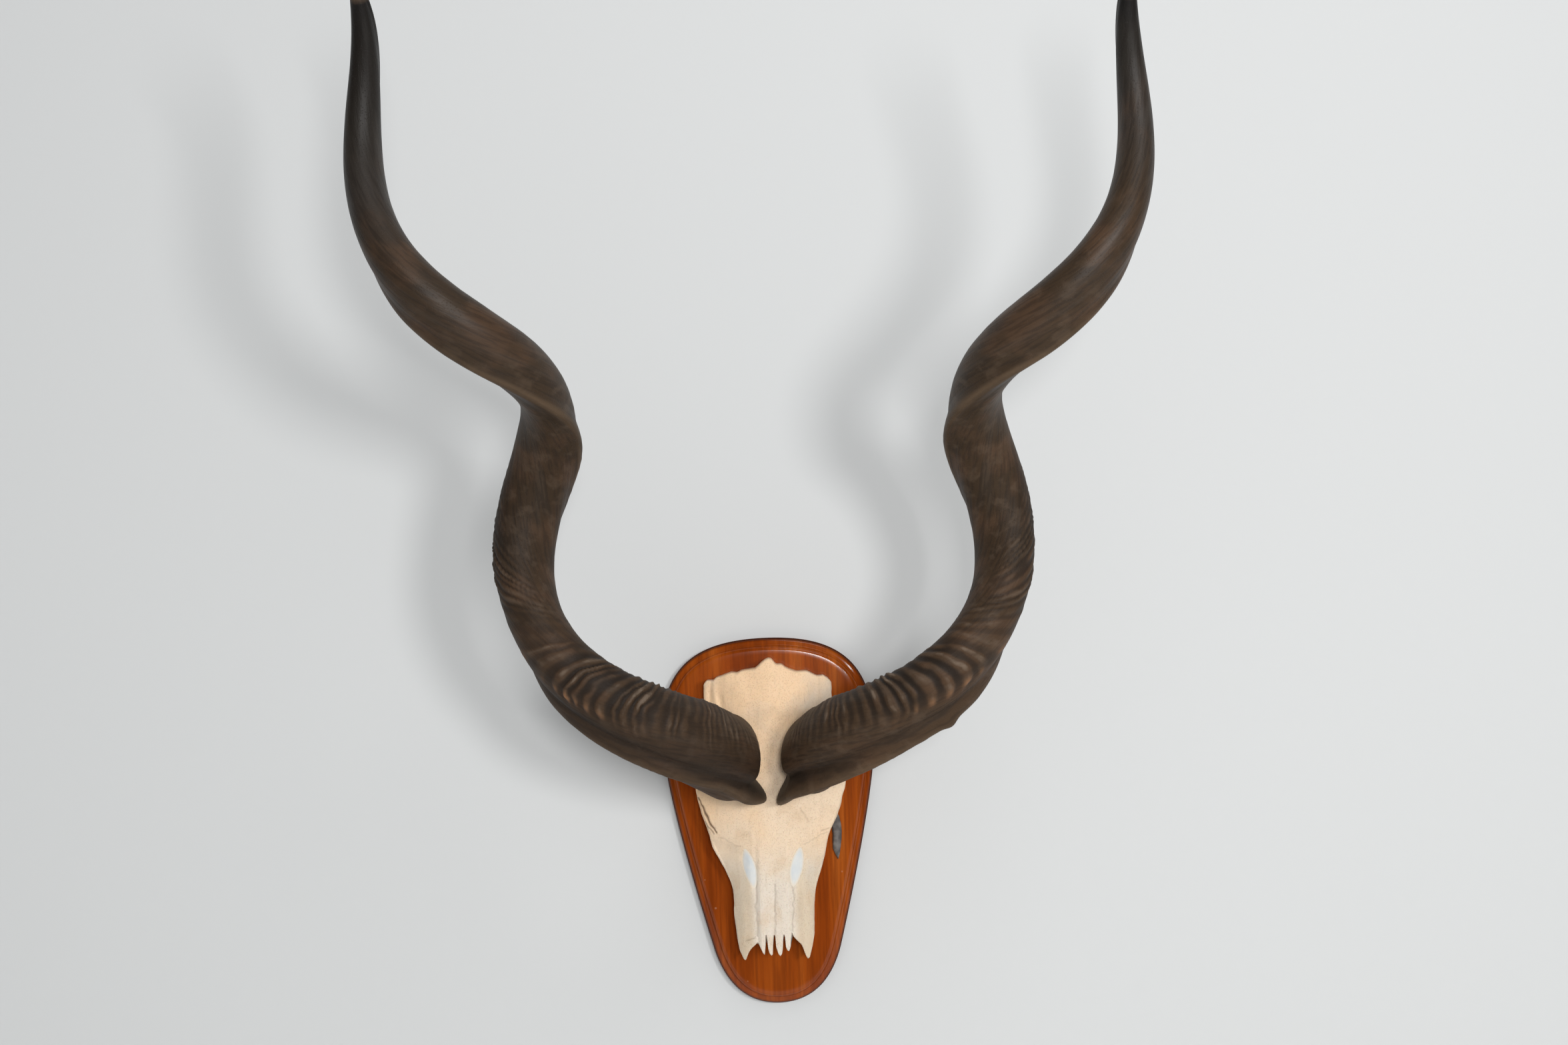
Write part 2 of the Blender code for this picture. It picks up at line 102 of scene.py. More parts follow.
def addPiece(name, points, faces, marks, nodes, finish):
    # one closed mesh; its faces are turned round if they point inwards
    flat = points.reshape(-1, 3)
    quads = np.array([face for face in faces if len(face) == 4])
    corner = flat[quads] - flat.mean(0)
    inside = np.einsum("ij,ij->i", corner[:, 0], np.cross(corner[:, 1], corner[:, 2])
                       + np.cross(corner[:, 2], corner[:, 3])).sum() < 0
    mesh = bpy.data.meshes.new(name)
    mesh.from_pydata(flat.tolist(), [], [face[::-1] for face in faces] if inside else faces)
    mesh.shade_smooth()
    for title, values in marks.items():
        if values.ndim == points.ndim:
            layer = mesh.attributes.new(title, "FLOAT_VECTOR", "POINT")
            layer.data.foreach_set("vector", np.ascontiguousarray(values, np.float32).ravel())
        else:
            layer = mesh.attributes.new(title, "FLOAT", "POINT")
            layer.data.foreach_set("value", np.ascontiguousarray(values, np.float32).ravel())
    piece = bpy.data.objects.new(name, mesh)
    bpy.context.scene.collection.objects.link(piece)
    mesh.materials.append(finish)
    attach(piece, "root")
    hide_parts(*nodes)
    print("made", name, len(mesh.polygons), "faces")
    return piece


def tubeFaces(rows, around):
    # quads between closed rings of points, one ring after another
    index = np.arange(rows * around).reshape(rows, around)
    beside = np.roll(index, -1, axis=1)
    return np.stack([index[:-1], beside[:-1], beside[1:], index[1:]], -1).reshape(-1, 4).tolist()


def ringFaces(rows, around):
    # the same with a flat end on the first and the last ring
    ends = [list(range(around))[::-1], list(range((rows - 1) * around, rows * around))]
    return tubeFaces(rows, around) + ends


# Shader helpers

def newMaterial(name, roughness, gloss):
    # a Principled material; gloss is its specular level
    made = bpy.data.materials.new(name)
    made.use_nodes = True
    shader = made.node_tree.nodes["Principled BSDF"]
    shader.inputs["Roughness"].default_value = roughness
    shader.inputs["Specular IOR Level"].default_value = gloss
    return made, made.node_tree, shader


def node(tree, kind, inputs=(), **settings):
    # a new shader node; each input is a number, a colour or another node's socket
    made = tree.nodes.new(kind)
    for key, value in settings.items():
        setattr(made, key, value)
    for key, value in dict(inputs).items():
        plug = made.inputs[key]
        if isinstance(value, bpy.types.NodeSocket):
            tree.links.new(value, plug)
        else:
            plug.default_value = value
    return made


def blend(tree, share, first, second):
    # mixes two colours by a share that is a number or a socket
    made = node(tree, "ShaderNodeMix", data_type="RGBA", blend_type="MIX")
    for index, value in ((0, share), (6, first), (7, second)):
        if isinstance(value, bpy.types.NodeSocket):
            tree.links.new(value, made.inputs[index])
        else:
            made.inputs[index].default_value = value if index == 0 else (*value, 1)
    return made.outputs[2]


def combine(tree, kind, first, second=0.0, clamp=False):
    # a math node on two numbers or sockets
    made = node(tree, "ShaderNodeMath", {0: first, 1: second}, operation=kind)
    made.use_clamp = clamp
    return made.outputs[0]


def times(tree, first, second, clamp=False):
    return combine(tree, "MULTIPLY", first, second, clamp)


def plus(tree, first, second):
    return combine(tree, "ADD", first, second)


def softStep(tree, value, low, high, toLow=0.0, toHigh=1.0):
    # toLow up to low and toHigh from high on, smooth between
    made = node(tree, "ShaderNodeMapRange", {"Value": value, "From Min": low, "From Max": high,
                                             "To Min": toLow, "To Max": toHigh})
    made.interpolation_type = "SMOOTHSTEP"
    return made.outputs[0]


def mark(tree, name, output="Fac"):
    # a number or vector that the mesh carries at each point
    return node(tree, "ShaderNodeAttribute", attribute_name=name).outputs[output]


def colourBand(tree, share, stops):
    # colours along a ramp, from (position, colour) pairs
    made = node(tree, "ShaderNodeValToRGB", {"Fac": share})
    band = made.color_ramp
    for index, (position, colour) in ((0, stops[0]), (1, stops[-1])):
        band.elements[index].position = position
        band.elements[index].color = (*colour, 1)
    for position, colour in stops[1:-1]:
        band.elements.new(position).color = (*colour, 1)
    return made.outputs[0]


def objectPlace(tree):
    # the point in metres, in the piece's own axes
    return node(tree, "ShaderNodeTexCoord").outputs["Object"]


def bump(tree, shader, height, distance, strength):
    # tilts the surface as if the height lifted it by distance
    made = node(tree, "ShaderNodeBump", {"Height": height, "Distance": distance,
                                         "Strength": strength})
    tree.links.new(made.outputs[0], shader.inputs["Normal"])


def newGroup(name, inputs, outputs):
    # an empty node group, with the sockets that lead in and out
    made = bpy.data.node_groups.new(name, "ShaderNodeTree")
    for title, kind, value in inputs:
        plug = made.interface.new_socket(title, in_out="INPUT", socket_type=kind)
        if value is not None:
            plug.default_value = value
    for title, kind in outputs:
        made.interface.new_socket(title, in_out="OUTPUT", socket_type=kind)
    return made, made.nodes.new("NodeGroupInput").outputs, made.nodes.new("NodeGroupOutput").inputs


def makeStreaks():
    # noise drawn out along one axis, broad and fine, as in grain and fibres
    group, given, out = newGroup("streaks", [
        ("Place", "NodeSocketVector", None), ("Stretch", "NodeSocketVector", (1, 1, 1)),
        ("Broad", "NodeSocketFloat", 20.0), ("Fine", "NodeSocketFloat", 120.0)],
        [("Broad", "NodeSocketFloat"), ("Fine", "NodeSocketFloat")])
    place = node(group, "ShaderNodeVectorMath", {0: given["Place"], 1: given["Stretch"]},
                 operation="MULTIPLY").outputs[0]
    for title, detail in (("Broad", 3.0), ("Fine", 5.0)):
        made = node(group, "ShaderNodeTexNoise", {"Vector": place, "Scale": given[title],
                                                  "Detail": detail})
        group.links.new(made.outputs["Fac"], out[title])
    return group


def makeSpeckle():
    # soft mottling and small pits
    group, given, out = newGroup("speckle", [
        ("Place", "NodeSocketVector", None), ("Mottle", "NodeSocketFloat", 30.0),
        ("Pits", "NodeSocketFloat", 500.0)],
        [("Mottle", "NodeSocketFloat"), ("Pits", "NodeSocketFloat")])
    mottle = node(group, "ShaderNodeTexNoise", {"Vector": given["Place"],
                                                "Scale": given["Mottle"], "Detail": 4.0})
    cells = node(group, "ShaderNodeTexVoronoi", {"Vector": given["Place"],
                                                 "Scale": given["Pits"]})
    group.links.new(mottle.outputs["Fac"], out["Mottle"])
    group.links.new(softStep(group, cells.outputs["Distance"], 0.05, 0.35), out["Pits"])
    return group


def useGroup(tree, group, **inputs):
    # a group's outputs, with its inputs given by name
    return node(tree, "ShaderNodeGroup", inputs, node_tree=group).outputs


streaks = makeStreaks()
speckle = makeSpeckle()


# Camera, wall, floor and light

view = dict(place=(0.022, -2.20, 0.299), roll=1.9, focalPixels=3231, widthPixels=2352, sensor=36)


def makeCamera():
    # level and square to the wall, rolled a little; the lens turns pixels into millimetres
    roll = math.radians(view["roll"])
    data = bpy.data.cameras.new("camera")
    data.sensor_width = view["sensor"]
    data.lens = view["focalPixels"] * view["sensor"] / view["widthPixels"]
    camera = bpy.data.objects.new("camera", data)
    bpy.context.scene.collection.objects.link(camera)
    turn = Matrix(((math.cos(roll), 0, -math.sin(roll)), (math.sin(roll), 0, math.cos(roll)),
                   (0, -1, 0))).transposed().to_4x4()
    turn.translation = view["place"]
    camera.matrix_world = turn
    bpy.context.scene.camera = camera


studio = dict(
    wallHalf=4.0, wallGap=0.001, wallColour=(0.705, 0.712, 0.708),
    wallClearWithin=0.006,  # light that starts this close to the wall passes through it
    floorLevel=-0.6, floorReach=1.5, floorColour=(0.75, 0.75, 0.74),
    paintRoughness=0.9, paintGloss=0.2,
    worldColour=(0.96, 0.98, 1.0), worldStrength=0.385, aim=(0, -0.1, 0.25),
    # place, width across and power in watts
    lights=[("keyLight", (1.34, -3.16, 0.62), 0.60, 34.0),
            ("fillLight", (0.35, -3.27, 0.52), 0.55, 32.0),
            ("ceilingLight", (0.5, -1.2, 2.1), 1.0, 5.5)])


def makeStage():
    # a plain wall just behind the shield, and a floor below it
    half = studio["wallHalf"]
    low, back, front = studio["floorLevel"], studio["wallGap"], -studio["floorReach"]
    for name, corners, colour in (
            ("wall", [(-half, back, low), (half, back, low), (half, back, half),
                      (-half, back, half)], studio["wallColour"]),
            ("floor", [(-half, front, low), (half, front, low), (half, half, low),
                       (-half, half, low)], studio["floorColour"])):
        mesh = bpy.data.meshes.new(name)
        mesh.from_pydata(corners, [], [(0, 1, 2, 3)])
        made, tree, shader = newMaterial(name + "Paint", studio["paintRoughness"],
                                         studio["paintGloss"])
        shader.inputs["Base Color"].default_value = (*colour, 1)
        if name == "wall":  # clear from behind, and to the light on what hangs flat against it
            clear = node(tree, "ShaderNodeBsdfTransparent")
            behind = node(tree, "ShaderNodeNewGeometry").outputs["Backfacing"]
            travelled = node(tree, "ShaderNodeLightPath").outputs["Ray Length"]
            close = combine(tree, "LESS_THAN", travelled, studio["wallClearWithin"])
            mix = node(tree, "ShaderNodeMixShader", {0: combine(tree, "MAXIMUM", behind, close),
                                                     1: shader.outputs[0], 2: clear.outputs[0]})
            tree.links.new(mix.outputs[0], tree.nodes["Material Output"].inputs["Surface"])
        mesh.materials.append(made)
        sheet = bpy.data.objects.new(name, mesh)
        bpy.context.scene.collection.objects.link(sheet)


def makeLight():
    # an even glow, and three round lamps aimed between the horns
    world = bpy.data.worlds.new("world")
    world.use_nodes = True
    glow = world.node_tree.nodes["Background"]
    glow.inputs["Color"].default_value = (*studio["worldColour"], 1)
    glow.inputs["Strength"].default_value = studio["worldStrength"]
    world.cycles_visibility.glossy = False  # the varnish mirrors the lamps alone
    bpy.context.scene.world = world
    bpy.context.scene.view_settings.view_transform = "Standard"
    for name, place, size, power in studio["lights"]:
        data = bpy.data.lights.new(name, "AREA")
        data.shape = "DISK"
        data.size = size
        data.energy = power
        lamp = bpy.data.objects.new(name, data)
        bpy.context.scene.collection.objects.link(lamp)
        aim = Vector(studio["aim"]) - Vector(place)
        lamp.matrix_world = (Matrix.Translation(place)
                             @ aim.to_track_quat("-Z", "Y").to_matrix().to_4x4())


makeCamera()
makeStage()
makeLight()
print("camera, wall, floor and lights made")


# Skull, all in mm

skullForm = dict(
    levels=[-140, -110, -60, -20, 10, 40, 75, 110, 140, 170],
    middle=[34, 37, 42, 46, 48, 50, 50, 46, 39, 30],
    edge=[17, 20, 24, 29, 30, 29, 26, 23, 22, 20],
    halfWidth=[40, 40, 42, 58, 69, 75, 61, 62, 64, 64],
    foreheadPower=2.1, muzzlePower=1.8, muzzleFrom=5, muzzleFull=-45,
    nasalHalf=18, nasalStep=2.0, nasalRim=4.5,
    shieldFace=20, backGap=0.3,
    sideRound=2.6, endRound=1.3, sideRough=0.45, sideRoughSize=7, sideSeeds=(31, 41),
    crestRough=0.5, crestRoughSize=3.2)

skullOutline = dict(
    # (z, x) down the two sides and (x, z) along the crest and the broken lower rim
    right=[(-114, 39), (-67, 42.3), (-39, 51), (-13, 56.8), (7, 65.5), (22, 70.3), (40, 75),
           (60, 64), (80, 60), (120, 64), (139, 64)],
    left=[(-117, -38.5), (-92, -40.8), (-65, -41.8), (-38, -53), (-24, -60), (-6, -64),
          (18, -71), (39, -75), (60, -64), (80, -60), (120, -64), (141, -64)],
    crest=[(-64, 138.5), (-62, 141.5), (-60, 143), (-54, 142.5), (-51, 145.5), (-46, 147),
           (-36, 150.5), (-30, 149.5), (-26, 152), (-18, 153), (-12, 153.5), (-8, 157), (-2, 162),
           (2, 163.5), (5, 162.5), (9, 157), (15, 157), (18, 154), (28, 149.5),
           (40, 149.5), (46, 146), (50, 144), (56, 144.5), (61, 141), (64, 137)],
    rim=[(-38, -117), (-36, -128), (-32, -136.5), (-30, -137), (-27.5, -130), (-24, -124.5),
         (-20, -121), (-17.5, -118.5), (-16.6, -120), (-15, -124), (-12.8, -129), (-11.2, -131.2),
         (-10.4, -128), (-10.1, -112.5), (-9.1, -110.5), (-8.1, -112), (-7.7, -124), (-6.2, -130),
         (-4.2, -132.3), (-2.8, -130), (-2.3, -113), (-1.2, -110.5), (-0.1, -112.5), (0.5, -124),
         (2.6, -131), (4.4, -133), (6.3, -130), (7.2, -122), (7.5, -112.5), (8.5, -110.5),
         (9.5, -112.5), (9.9, -123), (11.3, -127), (13, -128), (14.7, -124.5), (15.5, -111),
         (16.6, -109), (17.8, -113.5), (21, -117.5), (26, -123), (29.5, -134), (31.5, -137.8),
         (33.5, -136.5), (36.5, -126), (39, -114)])

skullGrid = dict(rows=340, rowStep=0.85, front=150, wall=22, baseLow=-117, baseHigh=139.5,
                 rimReach=57, crestReach=60, sideCrowding=0.03)

# The bone's swellings and hollows. Each of a list is (rise, x, width, z, height)
skullRelief = dict(
    noseRise=0.9, noseMiddle=9, noseFrom=22, noseFull=50,
    cheekRidge=1.6, cheekRidgeAt=31, cheekRidgeWide=6, cheekRidgeFrom=35, cheekRidgeFull=70,
    tearDeep=2.6, tearLevel=-21, tearSlope=0.36, tearAt=28, tearRun=13, tearInner=(22, 32),
    tearLower=(-95, -55),
    bothSides=[(-2.2, 45, 9, -26, 11)],
    folds=[(-2.2, -57.5, 2.8, 131, 14), (-1.8, -47, 3.4, 119, 15), (1.0, -52.5, 2.2, 124, 14)],
    foldSway=2.2, foldSwaySize=12,
    oneSide=[(-2.2, 46, 5.0, 126, 18), (1.0, 1, 9, 150, 14), (-0.8, -14, 9, 134, 14)],
    broadRough=0.9, broadRoughSize=24, fineRough=0.34, fineRoughSize=7,
    crackSway=0.9, crackSwaySize=4.5)

# Thin lines in the bone: (x, z) points, width and depth
skullCracks = dict(
    leftRim=([(-72.5, 27), (-68.5, 18), (-65, 9), (-60.5, -1), (-56, -7.5)], 0.9, 2.6),
    leftRimSplit=([(-71.5, 14), (-68, 5), (-63.5, -3), (-59, -9)], 0.8, 1.0),
    rightHairline=([(28.5, 16), (31, 12), (33, 8), (36.5, 1)], 0.6, 0.25),
    rightShort=([(49, -8), (56, -7)], 0.7, 0.4),
    leftCheek=([(-29, -117), (-24, -115), (-20.5, -114.5)], 0.6, 0.5),
    leftSeam=([(-17.6, -57), (-17.9, -68), (-18.2, -80), (-18, -112)], 1.1, 0.3),
    rightSeam=([(19.2, -58), (18.8, -80), (17.5, -108)], 0.8, 0.3),
    middleSeam=([(1.2, -60), (0.6, -90), (-1.2, -112)], 0.9, 0.25),
    leftTearLine=([(-53, -13), (-48, -13.5), (-44, -17), (-40, -18.5), (-37, -21), (-31, -21)],
                  0.8, 0.12),
    rightTearLine=([(54, -11), (47, -12), (44, -15), (39, -17.5), (36, -20), (31, -21)],
                   0.8, 0.12))

eyeSocket = dict(level=8, tall=24, high=21.5, deep=25, brow=1.2, browAt=1.12, browWide=0.10,
                 under=2.5, underFrom=26, underTo=60)
noseHollow = dict(start=76, full=90, sideWall=4.0, sideFull=6.5, wall=2.6)

# White fillings beside the nose: upright pointed lenses, pinched towards their ends
fillingForm = dict(middle=(23.3, -43.5), half=(6.4, 20.0), lean=0.2, pinch=0.55, edgeFrom=0.86,
                   deep=3.0, backDeep=2.7, proud=0.35, sunk=0.15, rough=0.2, roughSize=5,
                   around=96, topRings=26, backRings=12, centre=0.03, overlap=1.04)


def lensShare(x, z, side):
    # 0 in the middle of a filling, 1 on its upright pointed outline
    f = fillingForm
    mx, mz = f["middle"]
    hx, hz = f["half"]
    up = (z - mz) / hz
    across = (x * side - mx - f["lean"] * (z - mz)) / hx
    return np.hypot(across / np.sqrt(np.clip(1 - f["pinch"] * up * up, 0.05, 1)), up)


def pocket(x, z, side):
    # how deep the bone lies under a filling
    return fillingForm["deep"] * (1 - ramp(lensShare(x, z, side), fillingForm["edgeFrom"], 1.0))


def skullBase(x, z):
    # height over the shield's face: a crown across the forehead that turns into the muzzle
    f = skullForm
    middle = smoothThrough(f["levels"], f["middle"], z)
    edge = smoothThrough(f["levels"], f["edge"], z)
    half = smoothThrough(f["levels"], f["halfWidth"], z)
    away = np.abs(x)
    forehead = 1 - np.clip(away / half, 0, 1) ** f["foreheadPower"]
    beside = np.clip((away - f["nasalHalf"]) / (half - f["nasalHalf"]), 0, 1)
    muzzle = 1 - beside ** f["muzzlePower"]
    share = ramp(-z, -f["muzzleFrom"], -f["muzzleFull"])
    lift = f["nasalStep"] * share
    crown = forehead * (1 - share) + muzzle * share
    nasals = lift * (1 - ramp(away, f["nasalHalf"] - f["nasalRim"], f["nasalHalf"]))
    return edge + (middle - lift - edge) * crown + nasals


def skullCracksAt(x, z):
    # the cracks' depth, as a sum of bell curves across them, and their darkness
    sway, size = skullRelief["crackSway"], skullRelief["crackSwaySize"]
    depth, shade = 0, 0
    place = np.stack([x, z, 0 * x], -1)
    wavyX = x + sway * noise(place, size, 71)
    wavyZ = z + sway * noise(place, size, 72)
    for path, width, deep in skullCracks.values():
        line = nearPath(wavyX, wavyZ, path, width)
        depth = depth + deep * line
        shade = np.maximum(shade, line * min(1.0, 0.15 + deep / 2))
    return depth, shade


def swellings(across, z, forms):
    # a sum of bell curves
    return sum(rise * hump(across, x, wide) * hump(z, level, high)
               for rise, x, wide, level, high in forms)


def skullHeight(x, z):
    # the base with the bones' own swellings, hollows, seams and cracks
    r = skullRelief
    away = np.abs(x)
    place = np.stack([x, z, 0 * x], -1)
    height = skullBase(x, z)
    half = r["noseMiddle"]
    height = height + (ramp(-z, r["noseFrom"], r["noseFull"]) * r["noseRise"]
                       * (1 - ((away - half) / half) ** 2) * (away < 2 * half))
    height = height + (r["cheekRidge"] * hump(away, r["cheekRidgeAt"], r["cheekRidgeWide"])
                       * ramp(-z, r["cheekRidgeFrom"], r["cheekRidgeFull"]))
    crease = r["tearLevel"] + (away - r["tearAt"]) * r["tearSlope"]
    height = height - (r["tearDeep"] * ramp(crease - z, 0, r["tearRun"])
                       * ramp(away, *r["tearInner"]) * ramp(z, *r["tearLower"]))
    sway = x + r["foldSway"] * noise(place, r["foldSwaySize"], 13)
    height = (height + swellings(away, z, r["bothSides"]) + swellings(sway, z, r["folds"])
              + swellings(x, z, r["oneSide"]))
    height = (height + r["broadRough"] * roughNoise(place, r["broadRoughSize"], 3)
              + r["fineRough"] * roughNoise(place, r["fineRoughSize"], 4))
    return height - pocket(x, z, -1) - pocket(x, z, 1) - skullCracksAt(x, z)[0]


def edgeRounding(distance, radius):
    # how far a quarter circle drops towards the edge
    inside = np.clip(radius - distance, 0, radius)
    return radius - np.sqrt(radius**2 - inside**2)


def skullSkin():
    # closed rings, one for each level: the front from left to right, the right side wall with
    # its eye socket, the back from right to left, and the left side wall
    g, form = skullGrid, skullForm
    face, gap = form["shieldFace"], form["backGap"]
    base = np.linspace(g["baseLow"], g["baseHigh"], g["rows"])[:, None]
    toRim = np.clip(1 - (base - g["baseLow"]) / g["rimReach"], 0, 1) ** 2
    toCrest = np.clip(1 - (g["baseHigh"] - base) / g["crestReach"], 0, 1) ** 2
    ragged = np.concatenate([base, 0 * base, 0 * base + 9], 1)

    def sideLine(points, seed):
        # one side's outline at each level, smooth through its points and then ragged
        z, x = np.array(points).T
        rough = roughNoise(ragged, form["sideRoughSize"], seed)[:, None]
        return smoothThrough(z, x, base) + form["sideRough"] * rough
    left = sideLine(skullOutline["left"], form["sideSeeds"][0])
    right = sideLine(skullOutline["right"], form["sideSeeds"][1])
    rimX, rimZ = np.array(skullOutline["rim"]).T
    crestX, crestZ = np.array(skullOutline["crest"]).T

    def spread(t, leftAt, rightAt):
        # share t of the way across; the end rows are pulled onto the crest and the rim
        x = leftAt + (rightAt - leftAt) * t
        lower = rimX[0] + (rimX[-1] - rimX[0]) * t
        upper = crestX[0] + (crestX[-1] - crestX[0]) * t
        chips = roughNoise(np.stack([upper, 0 * upper, 0 * upper], -1), form["crestRoughSize"], 8)
        crestAt = np.interp(upper, crestX, crestZ) + form["crestRough"] * chips
        z = (base + (np.interp(lower, rimX, rimZ) - g["baseLow"]) * toRim
             + (crestAt - g["baseHigh"]) * toCrest)
        return x, z

    t = np.linspace(0, 1, g["front"] + 1)
    t = t - g["sideCrowding"] * np.sin(2 * np.pi * t)
    x, z = spread(t[None, :], left, right)
    rows = np.arange(g["rows"])[:, None]
    fromSide = np.minimum(x - left, right - x)
    fromEnd = np.minimum(rows, g["rows"] - 1 - rows) * g["rowStep"]
    height = (skullHeight(x, z) - edgeRounding(fromSide, form["sideRound"])
              - edgeRounding(fromEnd, form["endRound"]))
    front = np.stack([x, -face - height, z], -1)

    def bowl(away):
        # depth of a hollow half ellipsoid: deep times the root of 1 - away²
        return eyeSocket["deep"] * np.sqrt(np.clip(1 - away**2, 0, 1))

    def wall(edgePoint, side):
        # down from the front's edge to the shield, with a bowl pressed in for the eye
        w = (np.arange(g["wall"]) + 1) / (g["wall"] + 1)
        ex, ey, ez = (edgePoint[:, k][:, None] for k in range(3))
        y = ey + (-face - gap - ey) * w
        level = ez + 0 * w
        up = level - eyeSocket["level"]
        away = np.hypot(up / eyeSocket["tall"], (y + face) / eyeSocket["high"])
        brow = eyeSocket["brow"] * hump(away, eyeSocket["browAt"], eyeSocket["browWide"])
        nearSocket = 1 - ramp(np.abs(up), eyeSocket["underFrom"], eyeSocket["underTo"])
        fall = eyeSocket["under"] * w**2 * nearSocket
        return np.stack([ex - side * (bowl(away) - brow + fall), y, level], -1)

    rightWall = wall(front[:, -1], 1)
    leftWall = wall(front[:, 0], -1)[:, ::-1]
    backT = np.linspace(1, 0, g["front"] // 2 + 1)
    inward = bowl(np.hypot((base - eyeSocket["level"]) / eyeSocket["tall"],
                           gap / eyeSocket["high"]))
    bx, bz = spread(backT[None, :], left + inward, right - inward)
    fx, fz = spread(backT[None, :], left, right)
    h = noseHollow
    hollow = (ramp(-bz, h["start"], h["full"])
              * ramp(np.minimum(fx - left, right - fx), h["sideWall"], h["sideFull"]))
    rise = (skullHeight(fx, fz) - h["wall"]) * hollow
    back = np.stack([bx, -face - gap - rise, bz], -1)
    ring = np.concatenate([front, rightWall, back, leftWall], 1)
    return ring, len(t), len(backT)


def skullCap(row, fronts, backs, walls, around):
    # closes one end: each back point faces every second front point
    start = row * around
    front = [start + k for k in range(fronts)]
    rightWall = [start + fronts + k for k in range(walls)]
    back = [start + fronts + walls + k for k in range(backs)][::-1]
    leftWall = [start + fronts + walls + backs + k for k in range(walls)]
    faces = [[front[2 * k], front[2 * k + 1], front[2 * k + 2], back[k + 1], back[k]]
             for k in range(1, backs - 2)]
    faces.append([front[0], front[1], front[2], back[1], back[0]] + leftWall)
    faces.append(front[-3:] + rightWall + [back[-1], back[-2]])
    return faces if row else [face[::-1] for face in faces]


boneTones = dict(
    # the cheek colour and the hollow colour are painted shade: greyer where the cheeks turn aside,
    # browner in the creases beside the nose
    nose=(0.83, 0.725, 0.605), besideNose=(0.79, 0.645, 0.475), cheekShade=(0.69, 0.64, 0.565),
    hollow=(0.50, 0.40, 0.29), peach=(0.97, 0.675, 0.42), warm=(0.86, 0.735, 0.58),
    aged=(0.76, 0.66, 0.54), tan=(0.72, 0.51, 0.32), fibre=(0.56, 0.42, 0.28),
    crack=(0.13, 0.075, 0.04), pit=(0.42, 0.28, 0.16),
    cheekShadeShare=0.55, hollowShadeShare=0.30, agedShare=0.8, fibreShare=0.17, pitShare=0.34,
    # in mm: where shade is painted on the cheeks, which turn aside, and in the hollows beside the
    # nose
    cheekLevel=-38, cheekTall=20, cheekInner=(24, 36), hollowAt=25, hollowWide=5,
    hollowLower=(62, 78), patchy=0.6, patchSize=14)


def boneFinish():
    # peach on the forehead and paler down the nose, with fibres, dark cracks and small pits, and
    # painted shade on the cheeks and in the hollows beside the nose
    t = boneTones
    made, tree, shader = newMaterial("bone", 0.55, 0.3)
    place = objectPlace(tree)
    split = node(tree, "ShaderNodeSeparateXYZ", {0: place}).outputs
    spots = useGroup(tree, speckle, Place=place, Mottle=38.0, Pits=900.0)
    wide = useGroup(tree, speckle, Place=place, Mottle=9.0, Pits=260.0)
    level = plus(tree, split["Z"], times(tree, wide["Mottle"], 0.05))
    beside = softStep(tree, combine(tree, "ABSOLUTE", split["X"]), 0.018, 0.026)
    nose = blend(tree, beside, t["nose"], t["besideNose"])
    # painted shade: greyer on the cheeks, darker in the hollows beside the nose
    cheekShade = blend(tree, times(tree, mark(tree, "cheekShade"), t["cheekShadeShare"]), nose, t["cheekShade"])
    sides = blend(tree, times(tree, mark(tree, "hollow"), t["hollowShadeShare"]), cheekShade, t["hollow"])
    peach = blend(tree, softStep(tree, level, -0.034, 0.02), sides, t["peach"])
    warm = blend(tree, softStep(tree, wide["Mottle"], 0.40, 0.62, 0.0, 0.55), peach, t["warm"])
    crest = times(tree, softStep(tree, level, 0.095, 0.135, 0.0, t["agedShare"]),
                  softStep(tree, wide["Mottle"], 0.38, 0.60))
    aged = blend(tree, crest, warm, t["aged"])
    tan = blend(tree, softStep(tree, spots["Mottle"], 0.50, 0.72, 0.0, 0.42), aged, t["tan"])
    grains = useGroup(tree, streaks, Place=place, Stretch=(1, 0.3, 0.16), Broad=60.0, Fine=240.0)
    fibres = softStep(tree, grains["Fine"], 0.54, 0.70, 0.0, t["fibreShare"])
    cracks = times(tree, mark(tree, "seam"), 0.95, clamp=True)
    lines = blend(tree, cracks, blend(tree, fibres, tan, t["fibre"]), t["crack"])
    pits = softStep(tree, spots["Pits"], 0.0, 1.0, t["pitShare"], 0.0)
    tree.links.new(blend(tree, pits, lines, t["pit"]), shader.inputs["Base Color"])
    shader.inputs["Subsurface Weight"].default_value = 0.08
    shader.inputs["Subsurface Radius"].default_value = (0.004, 0.002, 0.001)
    shader.inputs["Subsurface Scale"].default_value = 1.0
    tree.links.new(softStep(tree, spots["Mottle"], 0.3, 0.7, 0.48, 0.66),
                   shader.inputs["Roughness"])
    grain = plus(tree, times(tree, spots["Pits"], 0.35),
                 plus(tree, spots["Mottle"], times(tree, grains["Fine"], -0.15)))
    bump(tree, shader, grain, 0.0011, 0.8)
    return made


